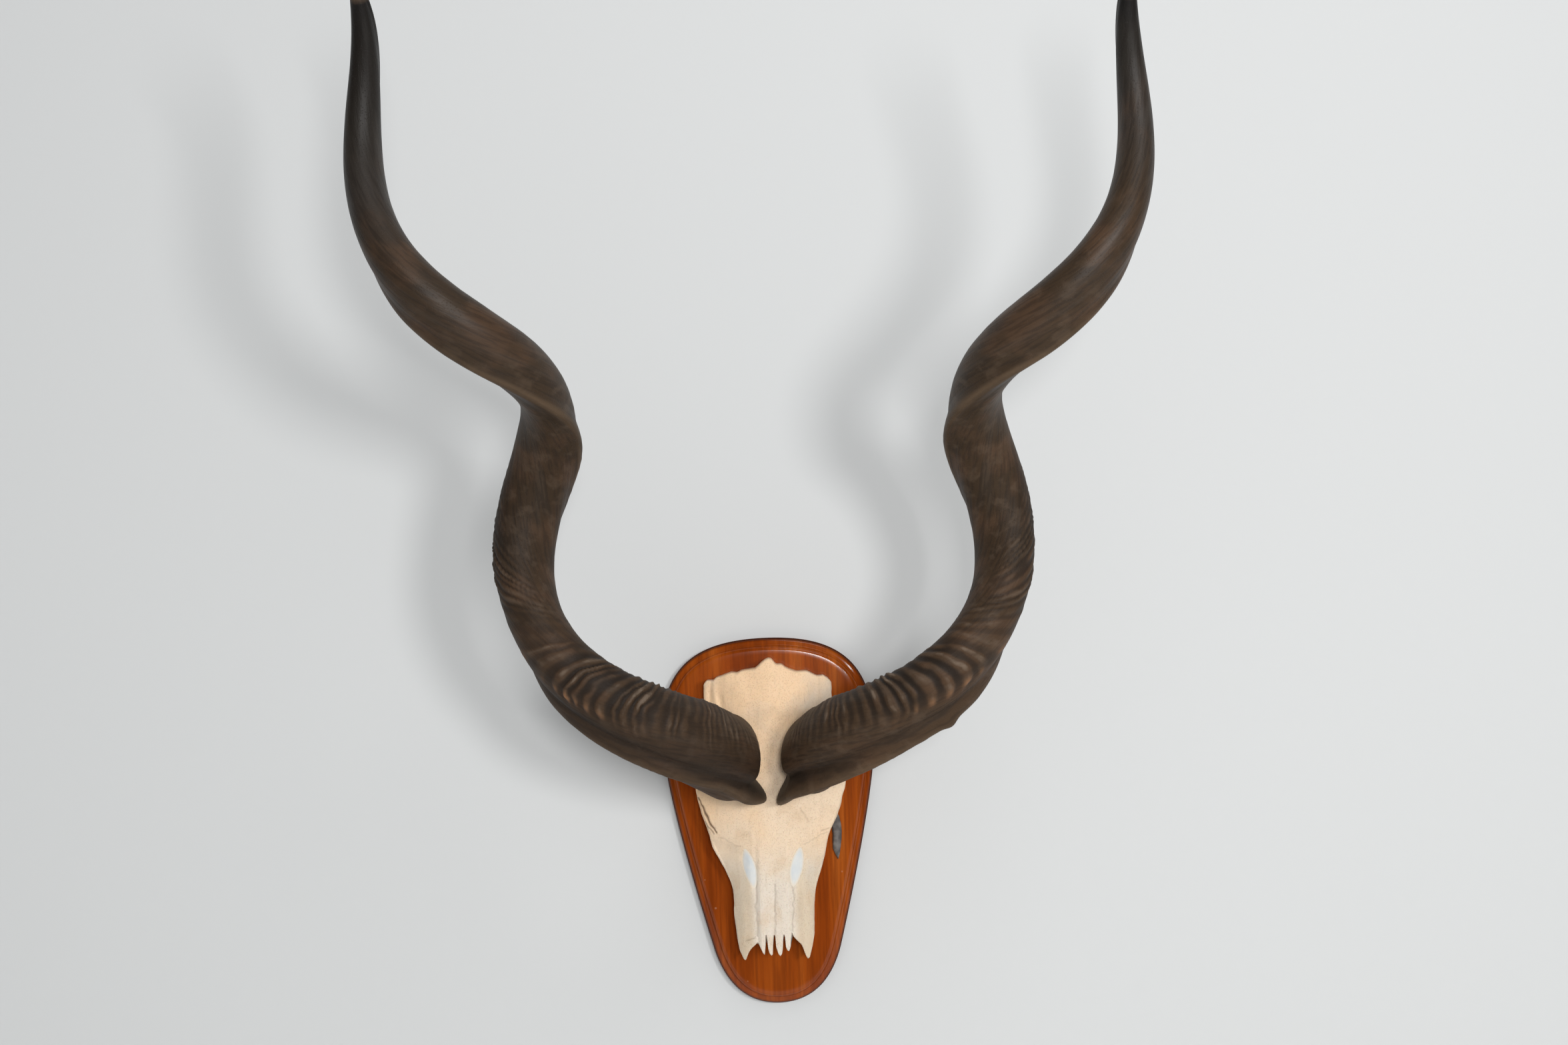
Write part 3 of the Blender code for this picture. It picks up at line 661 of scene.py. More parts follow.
def buildSkull():
    # one mesh, with marks for its cracks and for the painted shade on its cheeks and in the hollows
    # beside the nose
    t = boneTones
    ring, fronts, backs = skullSkin()
    rows, around = ring.shape[:2]
    faces = tubeFaces(rows, around)
    for row in (0, rows - 1):
        faces += skullCap(row, fronts, backs, skullGrid["wall"], around)
    seam = np.zeros((rows, around))
    seam[:, :fronts] = skullCracksAt(ring[:, :fronts, 0], ring[:, :fronts, 2])[1]
    x, z = np.abs(ring[..., 0]), ring[..., 2]
    place = np.stack([ring[..., 0], z, 0 * z], -1)
    soft = 1 + t["patchy"] * roughNoise(place, t["patchSize"], 91)
    # where shade is painted, patchy: the cheeks and the creases beside the nose
    cheekShade = hump(z, t["cheekLevel"], t["cheekTall"]) * ramp(x, *t["cheekInner"]) * soft
    hollow = hump(x, t["hollowAt"], t["hollowWide"]) * ramp(-z, *t["hollowLower"]) * soft
    addPiece("skullBone", ring * mm, faces, dict(seam=seam, cheekShade=cheekShade, hollow=hollow), ["skull"],
             boneFinish())


buildSkull()


# White fillings

fillingTones = dict(shaded=(0.70, 0.725, 0.73), bright=(0.80, 0.79, 0.75), thin=(0.83, 0.72, 0.58),
                    thinFrom=0.66, thinFull=1.02, thinShare=0.9)


def fillingFinish():
    # chalky white, thin enough at its edge for the bone's tone to show
    t = fillingTones
    made, tree, shader = newMaterial("filling", 0.5, 0.4)
    spots = useGroup(tree, speckle, Place=objectPlace(tree), Mottle=60.0, Pits=700.0)
    white = blend(tree, softStep(tree, spots["Mottle"], 0.35, 0.7), t["shaded"], t["bright"])
    thin = softStep(tree, mark(tree, "share"), t["thinFrom"], t["thinFull"], 0.0, t["thinShare"])
    tree.links.new(blend(tree, thin, white, t["thin"]), shader.inputs["Base Color"])
    bump(tree, shader, spots["Mottle"], 0.0006, 0.6)
    return made


def buildFillings():
    # a lens as rings round its middle: a front that follows the bone, and a back in the pocket
    f = fillingForm
    finish = fillingFinish()
    mx, mz = f["middle"]
    hx, hz = f["half"]
    turn = np.linspace(0, 2 * np.pi, f["around"], endpoint=False)[None, :]
    share = np.concatenate([np.linspace(f["centre"], f["overlap"], f["topRings"]),
                            np.linspace(1.0, f["centre"], f["backRings"])])[:, None]
    isTop = np.arange(len(share))[:, None] < f["topRings"]
    for side, name in ((-1, "filler_left"), (1, "filler_right")):
        across = share * np.cos(turn) * np.sqrt(1 - f["pinch"] * np.sin(turn) ** 2)
        z = mz + hz * share * np.sin(turn)
        x = side * (mx + f["lean"] * (z - mz) + hx * across)
        place = np.stack([x, z, 0 * x], -1)
        height = skullHeight(x, z)
        top = (height + pocket(x, z, side) + f["proud"] * (1 - share**2)
               + f["rough"] * roughNoise(place, f["roughSize"], 51) - f["sunk"])
        bottom = height + pocket(x, z, side) - f["backDeep"]
        y = -skullForm["shieldFace"] - np.where(isTop, top, bottom)
        ring = np.stack([x, y, z], -1) * mm
        addPiece(name + "_paste", ring, ringFaces(*ring.shape[:2]), dict(share=share + 0 * x),
                 [name], finish)


buildFillings()


# Horns, in metres; u is the share of the way to the tip

hornForm = dict(
    halfAcross=0.0307, halfAlong=0.0389, roundOut=0.136, footTurn=9, footTurnReach=0.04,
    girthAt=[0, 0.06, 0.15, 0.35, 0.55, 0.75, 0.90, 0.97, 0.992, 1],
    girth=[1.16, 1.06, 0.87, 0.79, 0.67, 0.565, 0.32, 0.165, 0.09, 0.04],
    slimFade=(0.14, 0.30), slimEndReach=0.02,
    keelHigh=0.0088, keelNarrow=(9, 15), keelTurn=(69, 28, -37), keelAt=(0.04, 0.15),
    keelMoreAt=[0, 0.03, 0.08, 0.14, 0.21, 0.28, 0.36],
    grooveDeep=0.0050, grooveReach=0.16, grooveTurn=(-12, -25), grooveKeelSide=5,
    grooveRidgeSide=11,
    lumps=0.0010, lumpsSize=0.045, fibres=0.00022, fibreSize=0.0035, fibreDraw=0.08,
    rows=880, footRows=24, around=106, keelCrowding=0.4, ridgeEnd=0.45, ridgeRows=0.68,
    seatHeight=0.0715, seatInner=0.014, seatFall=17, restGap=0.0004, restReach=0.068,
    footBend=0.5, lipWide=14, footGrain=0.03)

ridgeForm = dict(
    # at these distances from the foot: spacing and height of the growth ridges, how much they
    # slant round the horn, and how much their middle runs ahead of their ends
    at=[0, 0.03, 0.10, 0.15, 0.20, 0.22, 0.24, 0.275, 0.31, 0.34, 0.38, 0.42, 0.47], until=0.47,
    spacing=[0.0056, 0.0066, 0.0085, 0.0108, 0.0125, 0.0160, 0.0210, 0.0200, 0.0175, 0.0160,
             0.0140, 0.0130, 0.0130],
    height=[0.0003, 0.0007, 0.0014, 0.0027, 0.0031, 0.0017, 0.0007, 0.0009, 0.0021, 0.0022,
            0.0016, 0.0010, 0.0001],
    lean=[0, 0, 0, 0, 0, 0, 0.009, 0.032, 0.046, 0.050, 0.052, 0.052, 0.052], leanFrom=-20,
    bow=[0.0050, 0.0065, 0.0110, 0.0150, 0.0145, 0.0115, 0.0095, 0.0070, 0.0050, 0.0045, 0.0045,
         0.0045, 0.0045], bowMiddle=-36,
    first=-0.03, spacingLuck=(0.58, 1.45), heightLuck=(0.5, 1.2), crestPower=1.25,
    # amount, size and seed of three waves that bend the ridges
    wander=[(0.0030, 0.030, 0), (0.0022, 0.012, 1), (0.0008, 0.005, 3)],
    patchMean=0.80, patchSpread=1.25, patchSize=0.018, patchLow=0.12, patchHigh=1.5,
    middle=-56, half=62, sectorPower=5, outside=0.10, fullHeight=0.0026,
    knobTurn=2, knobWide=9, knobFrom=0.09, knobTo=0.26, knobFade=(0.05, 0.04), knobHigh=0.0012,
    knobLuck=0.60, knobSpread=1.2, knobSize=0.017)

# The screw: foot, lean and length of its axis, distances from it and turn. Then the foot's lip,
# a thinner foot, extra keel in mm, and the tones: shade is (darker all over, painted shade on
# the flank beside the keel), and darkLater holds the colours back, partly the horn's own tone
# and partly a painted sheen
leftHorn = dict(
    name="horn_left", side=-1, foot=(0.1022, -0.102, 0.0557), leanOut=16.5, leanForward=25.5,
    axis=0.819, swing=(0.0626, 0.0242, 0.0617, 0.0182), start=-182.0, turns=1.881, lag=28.0,
    skew=-145.0, bowSide=0.008, bowBack=-0.018, lip=0.0158, lipDown=0.0065, slim=0.02,
    slimEnd=0.02, keelMore=[0.5, -7.0, -3.4, -0.4, 3.2, 1.5, 0], lump=None, seed=11,
    shade=(0.16, 0.42), darkLater=0.015)
rightHorn = dict(
    name="horn_right", side=1, foot=(0.0995, -0.0982, 0.052), leanOut=16.7, leanForward=26.2,
    axis=0.8086, swing=(0.0590, 0.0197, 0.0645, 0.0162), start=-191.6, turns=1.853, lag=45.4,
    skew=-136.4, bowSide=0.017, bowBack=-0.019, lip=0.0085, lipDown=0.0095, slim=0.08,
    slimEnd=0.01, keelMore=[7.0, 7.5, 2.5, 1.2, 5.5, 4.5, 0],
    lump=dict(at=0.178, turn=-4, high=0.0035, wide=0.007, half=0.3), seed=23,
    shade=(0, 0.04), darkLater=0.085)


def traceHorn(horn, steps=2400):
    # a screw round a leaning axis: the distance from it is a cubic Bezier in the share s, the
    # turn is even with a lag s(1-s) and a skew s(1-s)(1-2s), and the axis bows by sin(pi s)
    s = np.linspace(0, 1, steps)
    out, forward = math.radians(horn["leanOut"]), math.radians(horn["leanForward"])
    axis = np.array([math.sin(out), -math.sin(forward) * math.cos(out),
                     math.cos(forward) * math.cos(out)])
    axis /= np.linalg.norm(axis)
    sideways = np.array([1.0, 0, 0]) - axis[0] * axis
    sideways /= np.linalg.norm(sideways)
    backwards = np.cross(axis, sideways)
    turned = np.radians(horn["start"] + 360 * horn["turns"] * s + horn["lag"] * s * (1 - s)
                        + horn["skew"] * s * (1 - s) * (1 - 2 * s))
    a, b, c, d = horn["swing"]
    swing = a * (1 - s)**3 + 3 * b * s * (1 - s)**2 + 3 * c * s**2 * (1 - s) + d * s**3
    radial = np.outer(np.cos(turned), sideways) + np.outer(np.sin(turned), backwards)
    bow = horn["bowSide"] * sideways + horn["bowBack"] * backwards
    centre = (np.array(horn["foot"]) + np.outer(s * horn["axis"], axis)
              + swing[:, None] * radial + np.outer(np.sin(np.pi * s), bow))
    length = np.concatenate([[0], np.cumsum(np.linalg.norm(np.diff(centre, axis=0), axis=1))])
    even = np.linspace(0, 1, steps)
    centre = np.stack([np.interp(even, length / length[-1], centre[:, k]) for k in range(3)], 1)
    radial = np.stack([np.interp(even, length / length[-1], radial[:, k]) for k in range(3)], 1)
    along = np.gradient(centre, axis=0)
    along /= np.linalg.norm(along, axis=1)[:, None]
    outward = radial - (radial * along).sum(1)[:, None] * along
    outward /= np.linalg.norm(outward, axis=1)[:, None]
    downward = np.cross(along, outward)
    downward *= -np.sign((downward @ axis).mean())
    return even, centre, along, outward, downward, length[-1]


def ridgeProfile(seed):
    # each ridge is sin²(pi f) over its share f of the gap, its crest pushed towards the tip
    r = ridgeForm
    luck = np.random.default_rng(seed)
    s = np.linspace(-0.06, 0.56, 9000)
    height = np.zeros_like(s)
    spot = r["first"]
    while spot < r["until"]:
        gap = np.interp(spot, r["at"], r["spacing"]) * luck.uniform(*r["spacingLuck"])
        high = np.interp(spot, r["at"], r["height"]) * luck.uniform(*r["heightLuck"])
        share = np.clip((s - spot) / gap, 0, 1) ** r["crestPower"]
        height = height + high * np.sin(np.pi * share) ** 2
        spot += gap
    return s, height


def ridges(horn, s, theta, place):
    # the crests cross the front and outer side; further up they slant along the horn. A crest
    # lies where s - lean (turn - leanFrom) + bow (turn - bowMiddle)² is constant
    r = ridgeForm
    seed = horn["seed"]
    middle, bowMiddle, leanFrom = (math.radians(r[key])
                                   for key in ("middle", "bowMiddle", "leanFrom"))
    offset = (theta - middle + np.pi) % (2 * np.pi) - np.pi
    turn = offset + middle
    lean = np.interp(s, r["at"], r["lean"]) * (turn - leanFrom)
    bow = np.interp(s, r["at"], r["bow"]) * (turn - bowMiddle) ** 2
    wander = sum(amount * noise(place, size, seed + k) for amount, size, k in r["wander"])
    fold = np.interp(s - lean + bow + wander, *ridgeProfile(seed))
    full = np.interp(s, r["at"], r["height"])
    patch = np.clip(r["patchMean"] + r["patchSpread"] * roughNoise(place, r["patchSize"], seed + 2),
                    r["patchLow"], r["patchHigh"])
    sector = np.exp(-np.abs(offset / math.radians(r["half"])) ** r["sectorPower"])
    crest = fold * patch * (r["outside"] + (1 - r["outside"]) * sector)
    fadeIn, fadeOut = r["knobFade"]
    window = (ramp(s, r["knobFrom"], r["knobFrom"] + fadeIn)
              * (1 - ramp(s, r["knobTo"] - fadeOut, r["knobTo"])))
    luck = np.clip(r["knobLuck"] + r["knobSpread"] * noise(place, r["knobSize"], 5), 0, 1)
    knob = (hump(turn, math.radians(r["knobTurn"]), math.radians(r["knobWide"])) * window
            * np.clip(1.6 * fold / full - 0.5, 0, 1) * luck)
    ridged = sector * np.clip(full / r["fullHeight"], 0, 1) ** 0.7
    # the third value, each ridge's share of its full height, later gives the crests their wear and
    # painted highlight and the valleys their painted shade
    return crest, ridged, fold / full * patch, knob


def seatY(x):
    # the plane that a foot sits on: it falls back towards the skull's sides
    fall = math.tan(math.radians(hornForm["seatFall"]))
    return -hornForm["seatHeight"] + fall * (np.abs(x) - hornForm["seatInner"])


def restOnBone(points):
    # lifts what would sink into the skull
    x, z = np.abs(points[..., 0]), points[..., 2]
    bone = -(skullForm["shieldFace"] + skullBase(x / mm, z / mm)) * mm - hornForm["restGap"]
    bone = np.minimum(bone, seatY(x))
    points[..., 1] = np.where(x < hornForm["restReach"], np.minimum(points[..., 1], bone),
                              points[..., 1])
    return points


def hornSkin(horn):
    # an egg-shaped section with a keel and a groove, carried along the screw: its radius is the
    # oval plus keel, ridges and lumps, less the groove. Hermite curves draw the foot out into
    # the flange that sits on the bone
    f = hornForm
    even, centre, along, outward, downward, length = traceHorn(horn)
    lowRows = int(f["rows"] * f["ridgeRows"])
    at = np.concatenate([np.linspace(0, f["ridgeEnd"], lowRows, endpoint=False),
                         np.linspace(f["ridgeEnd"], 1, f["rows"] - lowRows)])
    t = np.linspace(-np.pi, np.pi, f["around"], endpoint=False)
    fromKeel = (t - f["keelCrowding"] * np.sin(t))[None, :]
    keelAt = np.radians(f["keelTurn"][0] + f["keelTurn"][1] * at + f["keelTurn"][2] * at**2
                        + f["footTurn"] * np.exp(-at / f["footTurnReach"]))
    theta = keelAt[:, None] + fromKeel
    u = at[:, None]
    s = u * length
    girth = smoothThrough(f["girthAt"], f["girth"], at)[:, None]
    girth = girth * (1 - horn["slim"] * (1 - ramp(u, *f["slimFade"]))
                     - horn["slimEnd"] * np.exp(-u / f["slimEndReach"]))
    across = f["halfAcross"] * (1 + f["roundOut"] * u)
    oval = girth / np.hypot(np.cos(theta) / across, np.sin(theta) / f["halfAlong"])
    upward = ramp(u, *f["keelAt"])
    narrow, narrowUp = f["keelNarrow"]
    keelShare = hump(fromKeel, 0, np.radians(narrow + (narrowUp - narrow) * upward))
    more = np.interp(u, f["keelMoreAt"], horn["keelMore"]) * mm
    keel = (girth * f["keelHigh"] + more) * keelShare
    turnLow, turnUp = f["grooveTurn"]
    beside = fromKeel - np.radians(turnLow + (turnUp - turnLow) * upward)
    furrow = np.exp(-u / f["grooveReach"]) * hump(beside, 0, np.radians(
        np.where(beside > 0, f["grooveKeelSide"], f["grooveRidgeSide"])))
    straight = np.stack([oval * np.cos(fromKeel), oval * np.sin(fromKeel), s + 0 * oval], -1)
    # worn is each ridge's share of its full height: it sets the crests' wear and painted highlight
    # and the painted shade in the valleys
    crest, ridged, worn, knob = ridges(horn, s, theta, straight)
    lumps = f["lumps"] * roughNoise(straight, f["lumpsSize"], horn["seed"] + 5) * girth
    drawn = straight * [1, 1, f["fibreDraw"]]
    fibres = f["fibres"] * roughNoise(drawn, f["fibreSize"], horn["seed"] + 7) * girth
    radius = (oval + keel + crest + ridgeForm["knobHigh"] * knob + lumps + fibres
              - f["grooveDeep"] * furrow)
    if horn["lump"]:
        lump = horn["lump"]
        radius = radius + (lump["high"] * hump(s, lump["at"] * length, lump["wide"])
                           * hump(fromKeel, math.radians(lump["turn"]), lump["half"]))

    def pick(values):
        # a vector of the trace at each row
        return np.stack([np.interp(at, even, values[:, k]) for k in range(3)], 1)[:, None]
    rings = pick(centre) + radius[..., None] * (
        np.cos(theta)[..., None] * pick(outward) + np.sin(theta)[..., None] * pick(downward))
    first = rings[0]
    lip = np.exp(-np.abs(fromKeel[0] / math.radians(f["lipWide"])) ** 3)
    seat = first.copy()
    seat[:, 0] -= horn["lip"] * lip
    seat[:, 2] -= horn["lipDown"] * lip
    seat[:, 1] = seatY(seat[:, 0])
    depth = (seat[:, 1] - first[:, 1])[:, None]
    q = np.linspace(0, 1, f["footRows"] + 1)[:-1, None, None]
    foot = ((2 * q**3 - 3 * q**2 + 1) * seat + (3 * q**2 - 2 * q**3) * first
            + (q**3 - 2 * q**2 + q) * depth * np.array([0, -1, 0])
            + (q**3 - q**2) * f["footBend"] * depth * pick(along)[0])
    rings = restOnBone(np.concatenate([foot, rings]))
    rings[..., 0] *= horn["side"]

    def extend(values):
        # the foot's rows carry the first row's marks
        return np.concatenate([np.repeat(values[:1], f["footRows"], 0), values])
    tones = hornTones
    # painted shade on the flank beside the keel, which faces down; darkLater keeps the upper horn
    # lighter, partly its own tone and partly a painted sheen
    dark, flankShade = horn["shade"]
    flank = hump(fromKeel, math.radians(tones["flankTurn"]), math.radians(tones["flankWide"]))
    shade = dark + flankShade * flank * (1 - ramp(u, *tones["flankFade"]))
    later = ramp(u, *tones["laterFrom"]) * (1 - ramp(u, *tones["laterTo"]))
    reach = u - horn["darkLater"] * later + 0 * oval
    straight = extend(straight)
    straight[:f["footRows"], :, 2] = -f["footGrain"] * (1 - q[:, :, 0])
    marks = dict(reach=reach, keel=keelShare, crest=worn, ridged=ridged, furrow=furrow, knob=knob,
                 shade=shade)
    return rings, dict(grain=straight, **{title: extend(marks[title]) for title in marks})


hornTones = dict(
    # colour at each share of the way to the tip; the greyer stops at 0.775 and 0.83 paint in a
    # sheen
    band=[(0.0, (0.072, 0.042, 0.023)), (0.25, (0.066, 0.038, 0.020)),
          (0.36, (0.046, 0.027, 0.014)), (0.50, (0.052, 0.031, 0.016)),
          (0.70, (0.052, 0.032, 0.018)), (0.775, (0.040, 0.032, 0.026)),
          (0.83, (0.024, 0.020, 0.016)), (0.90, (0.014, 0.012, 0.010)),
          (0.962, (0.0085, 0.0075, 0.007)),
          (0.974, (0.25, 0.16, 0.10)), (1.0, (0.62, 0.47, 0.32))],
    warm=(0.092, 0.050, 0.027), grey=(0.085, 0.070, 0.056), fibre=(0.014, 0.010, 0.008),
    # the crest colour is worn horn with a painted highlight; the valley colour is painted shade,
    # also laid in the furrow
    rubbed=(0.120, 0.080, 0.052), crest=(0.190, 0.138, 0.098), valleyShade=(0.016, 0.011, 0.008),
    knob=(0.33, 0.165, 0.080), keel=(0.165, 0.105, 0.060), shade=(0.014, 0.009, 0.006),
    furrowShadeShare=0.78, knobShare=0.95, sheen=0.24,
    # painted shade on the flank beside the keel, which faces down, and where darkLater holds the
    # colours back: partly the horn's own tone, partly a painted sheen
    flankTurn=-35, flankWide=27, flankFade=(0.20, 0.32), laterFrom=(0.55, 0.75),
    laterTo=(0.93, 0.965))


def hornFinish():
    # brown that darkens up to a pale tip, with rubbed patches, crests lightened by wear and a
    # painted highlight, and painted shade in the ridge valleys and the furrow
    t = hornTones
    made, tree, shader = newMaterial("horn", 0.5, 0.18)
    place = mark(tree, "grain", "Vector")
    reach, crest = mark(tree, "reach"), mark(tree, "crest")
    keel, ridged, furrow = mark(tree, "keel"), mark(tree, "ridged"), mark(tree, "furrow")
    lines = useGroup(tree, streaks, Place=place, Stretch=(1, 1, 0.10), Broad=70.0, Fine=420.0)
    spots = useGroup(tree, speckle, Place=place, Mottle=26.0, Pits=520.0)
    rubs = useGroup(tree, speckle, Place=place, Mottle=75.0, Pits=300.0)
    # the band along the horn, its grey stops a painted sheen on the upper horn
    shades = colourBand(tree, reach, t["band"])
    warm = blend(tree, softStep(tree, spots["Mottle"], 0.44, 0.66, 0.0, 0.8), shades, t["warm"])
    brown = blend(tree, softStep(tree, reach, 0.70, 0.84), warm, shades)
    grey = blend(tree, softStep(tree, lines["Broad"], 0.52, 0.70, 0.0, 0.22), brown, t["grey"])
    fibres = times(tree, softStep(tree, lines["Fine"], 0.38, 0.56, 0.38, 0.0),
                   softStep(tree, ridged, 0.0, 1.0, 1.0, 0.3))
    dark = blend(tree, fibres, grey, t["fibre"])
    rubbed = times(tree, softStep(tree, rubs["Mottle"], 0.52, 0.68, 0.0, 0.35),
                   softStep(tree, reach, 0.55, 0.76, 1.0, 0.0))
    worn = blend(tree, rubbed, dark, t["rubbed"])
    # the ridge tops: lighter with wear and with a painted highlight
    crestWearAndHighlight = times(tree, softStep(tree, crest, 0.55, 1.0),
                 times(tree, ridged, softStep(tree, reach, 0.22, 0.28, 1.0, 0.4)))
    light = blend(tree, times(tree, crestWearAndHighlight, softStep(tree, rubs["Mottle"], 0.38, 0.60, 0.15, 0.95)),
                  worn, t["crest"])
    # painted shade in the valleys between the ridges and in the furrow beside the keel
    low = times(tree, softStep(tree, crest, 0.0, 0.48, 0.88, 0.0), ridged)
    valleyAndFurrowShade = combine(tree, "MAXIMUM", low, times(tree, furrow, t["furrowShadeShare"]))
    deep = blend(tree, valleyAndFurrowShade, light, t["valleyShade"])
    knobs = blend(tree, times(tree, mark(tree, "knob"), t["knobShare"]), deep, t["knob"])
    edge = times(tree, softStep(tree, keel, 0.45, 0.95),
                 softStep(tree, lines["Broad"], 0.35, 0.65, 0.25, 1.0))
    high = times(tree, edge, softStep(tree, reach, 0.02, 0.48, 0.40, 0.8))
    rim = blend(tree, times(tree, high, softStep(tree, reach, 0.72, 0.86, 1.0, 0.0)), knobs,
                t["keel"])
    # the shade mark: darker all over, and painted shade on the flank beside the keel
    tree.links.new(blend(tree, mark(tree, "shade"), rim, t["shade"]), shader.inputs["Base Color"])
    dull = plus(tree, softStep(tree, reach, 0.2, 0.7, 0.52, 0.42),
                times(tree, lines["Broad"], 0.14))
    tree.links.new(dull, shader.inputs["Roughness"])
    sheen = times(tree, softStep(tree, reach, 0.45, 0.64, 0.0, t["sheen"]),
                  softStep(tree, lines["Broad"], 0.38, 0.62, 0.25, 1.0))
    tree.links.new(sheen, shader.inputs["Coat Weight"])
    shader.inputs["Coat Roughness"].default_value = 0.40
    relief = plus(tree, times(tree, lines["Fine"], 0.7), times(tree, spots["Pits"], 0.25))
    bump(tree, shader, relief, 0.0008, 0.8)
    return made


def buildHorns():
    # one closed mesh a horn, from the ring of its foot to the ring of its tip
    finish = hornFinish()
    for horn in (leftHorn, rightHorn):
        rings, marks = hornSkin(horn)
        addPiece(horn["name"] + "_sheath", rings, ringFaces(*rings.shape[:2]), marks,
                 [horn["name"]], finish)


buildHorns()


# Wooden shield, in mm

shieldForm = dict(top=(0, 182), topPull=78, shoulder=(106.8, 84), shoulderUp=(0, 65),
                  shoulderDown=(0.5, -42), flank=(62.6, -134), flankUp=(18.5, 68),
                  flankDown=(-9.3, -31), bottom=(0, -189), bottomPull=34, steps=64,
                  tilt=0.7, wider=1.3, widerFull=40)

# the moulding from the back's rim to the face: inset, or height over the back
moulding = dict(backRound=0.6, board=13.5, boardRound=5.0, shelf=(6.4, 13.9), face=20,
                fieldInset=7.4, fieldFoot=14.6, fieldRound=4.6, fieldEnd=16.0, arcSteps=9)


def shieldOutline():
    # three cubic Bezier arcs down the right side, mirrored for the left
    f = shieldForm
    stops = [(f["top"], (0, 0), (f["topPull"], 0)),
             (f["shoulder"], f["shoulderUp"], f["shoulderDown"]),
             (f["flank"], f["flankUp"], f["flankDown"]),
             (f["bottom"], (f["bottomPull"], 0), (0, 0))]
    t = np.linspace(0, 1, f["steps"], endpoint=False)[:, None]
    half = []
    for (start, _, leave), (end, arrive, _) in zip(stops, stops[1:]):
        p0, p3 = np.array(start, float), np.array(end, float)
        p1, p2 = p0 + leave, p3 + arrive
        half.append((1 - t)**3 * p0 + 3 * t * (1 - t)**2 * p1 + 3 * t**2 * (1 - t) * p2
                    + t**3 * p3)
    right = np.concatenate(half)
    bottom = np.array([f["bottom"]], float)
    left = right[:0:-1] * [-1, 1]
    outline = np.concatenate([right, bottom, left])
    outline[:, 0] += f["wider"] * np.clip(outline[:, 0] / f["widerFull"], -1, 1)
    c, s = math.cos(math.radians(f["tilt"])), math.sin(math.radians(f["tilt"]))
    return outline @ np.array([[c, s], [-s, c]])


def mouldingProfile():
    # rounded back rim, edge board with a rounded front, a sloping shelf and the field's round
    # rim; each round is a quarter circle or a quarter ellipse
    m = moulding
    turn = np.linspace(0, np.pi / 2, m["arcSteps"])
    b, f = m["boardRound"], m["fieldRound"]
    rim = [(m["backRound"] * (1 - math.sin(a)), m["backRound"] * (1 - math.cos(a))) for a in turn]
    board = [(b * (1 - math.cos(a)), m["board"] - b * (1 - math.sin(a))) for a in turn]
    field = [(m["fieldInset"] + f * (1 - math.cos(a)),
              m["face"] - (m["face"] - m["fieldFoot"]) * (1 - math.sin(a))) for a in turn]
    return np.array(rim + board + [m["shelf"]] + field + [(m["fieldEnd"], m["face"])])


woodTones = dict(
    grain=[(0.28, (0.200, 0.034, 0.002)), (0.46, (0.280, 0.051, 0.004)),
           (0.60, (0.345, 0.070, 0.006)), (0.74, (0.46, 0.115, 0.015))],
    # the rim colour is painted shade on the edge's outer rounding, which turns away
    fine=(0.115, 0.020, 0.003), pore=(0.060, 0.012, 0.003), rim=(0.035, 0.007, 0.002),
    nick=(0.52, 0.26, 0.15), rimShadeShare=0.92, rimFrom=0.4, rimTo=3.2, backPlain=(0.1, 0.6),
    varnish=0.7, varnishRoughness=0.13, bareAt=(0.85, 1.10),  # bare where it is this steep
    # place and size of small nicks, in mm
    nicks=[((69.0, -56.0), 0.8), ((-60.0, -89.0), 1.0), ((-70.0, -60.0), 0.6),
           ((-30.0, -164.0), 0.6)])


def woodFinish():
    # red-brown grain with fine lines and pores under a clear varnish, with painted shade on the
    # outer rim
    t = woodTones
    made, tree, shader = newMaterial("varnishedWood", 0.4, 0.0)
    place = objectPlace(tree)
    lines = useGroup(tree, streaks, Place=place, Stretch=(1, 0.35, 0.045), Broad=48.0, Fine=330.0)
    pores = useGroup(tree, streaks, Place=place, Stretch=(1, 1, 0.03), Broad=900.0, Fine=1500.0)
    split = node(tree, "ShaderNodeSeparateXYZ", {0: place}).outputs
    flat = node(tree, "ShaderNodeCombineXYZ", {0: split["X"], 1: 0.0, 2: split["Z"]}).outputs[0]
    grain = colourBand(tree, lines["Broad"], t["grain"])
    fine = blend(tree, softStep(tree, lines["Fine"], 0.35, 0.62, 0.38, 0.0), grain, t["fine"])
    dots = blend(tree, softStep(tree, pores["Broad"], 0.60, 0.72, 0.0, 0.3), fine, t["pore"])
    # painted shade on the outer rim
    colour = blend(tree, times(tree, mark(tree, "rim"), t["rimShadeShare"]), dots, t["rim"])
    for (nx, nz), size in t["nicks"]:
        gap = node(tree, "ShaderNodeVectorMath", {0: flat, 1: (nx * mm, 0, nz * mm)},
                   operation="DISTANCE")
        near = softStep(tree, gap.outputs["Value"], 0.4 * size * mm, 1.6 * size * mm, 0.45, 0.0)
        colour = blend(tree, near, colour, t["nick"])
    tree.links.new(colour, shader.inputs["Base Color"])
    tree.links.new(mark(tree, "varnish"), shader.inputs["Coat Weight"])
    shader.inputs["Coat Roughness"].default_value = t["varnishRoughness"]
    bump(tree, shader, plus(tree, lines["Fine"], times(tree, pores["Broad"], 0.5)), 0.0003, 0.5)
    return made


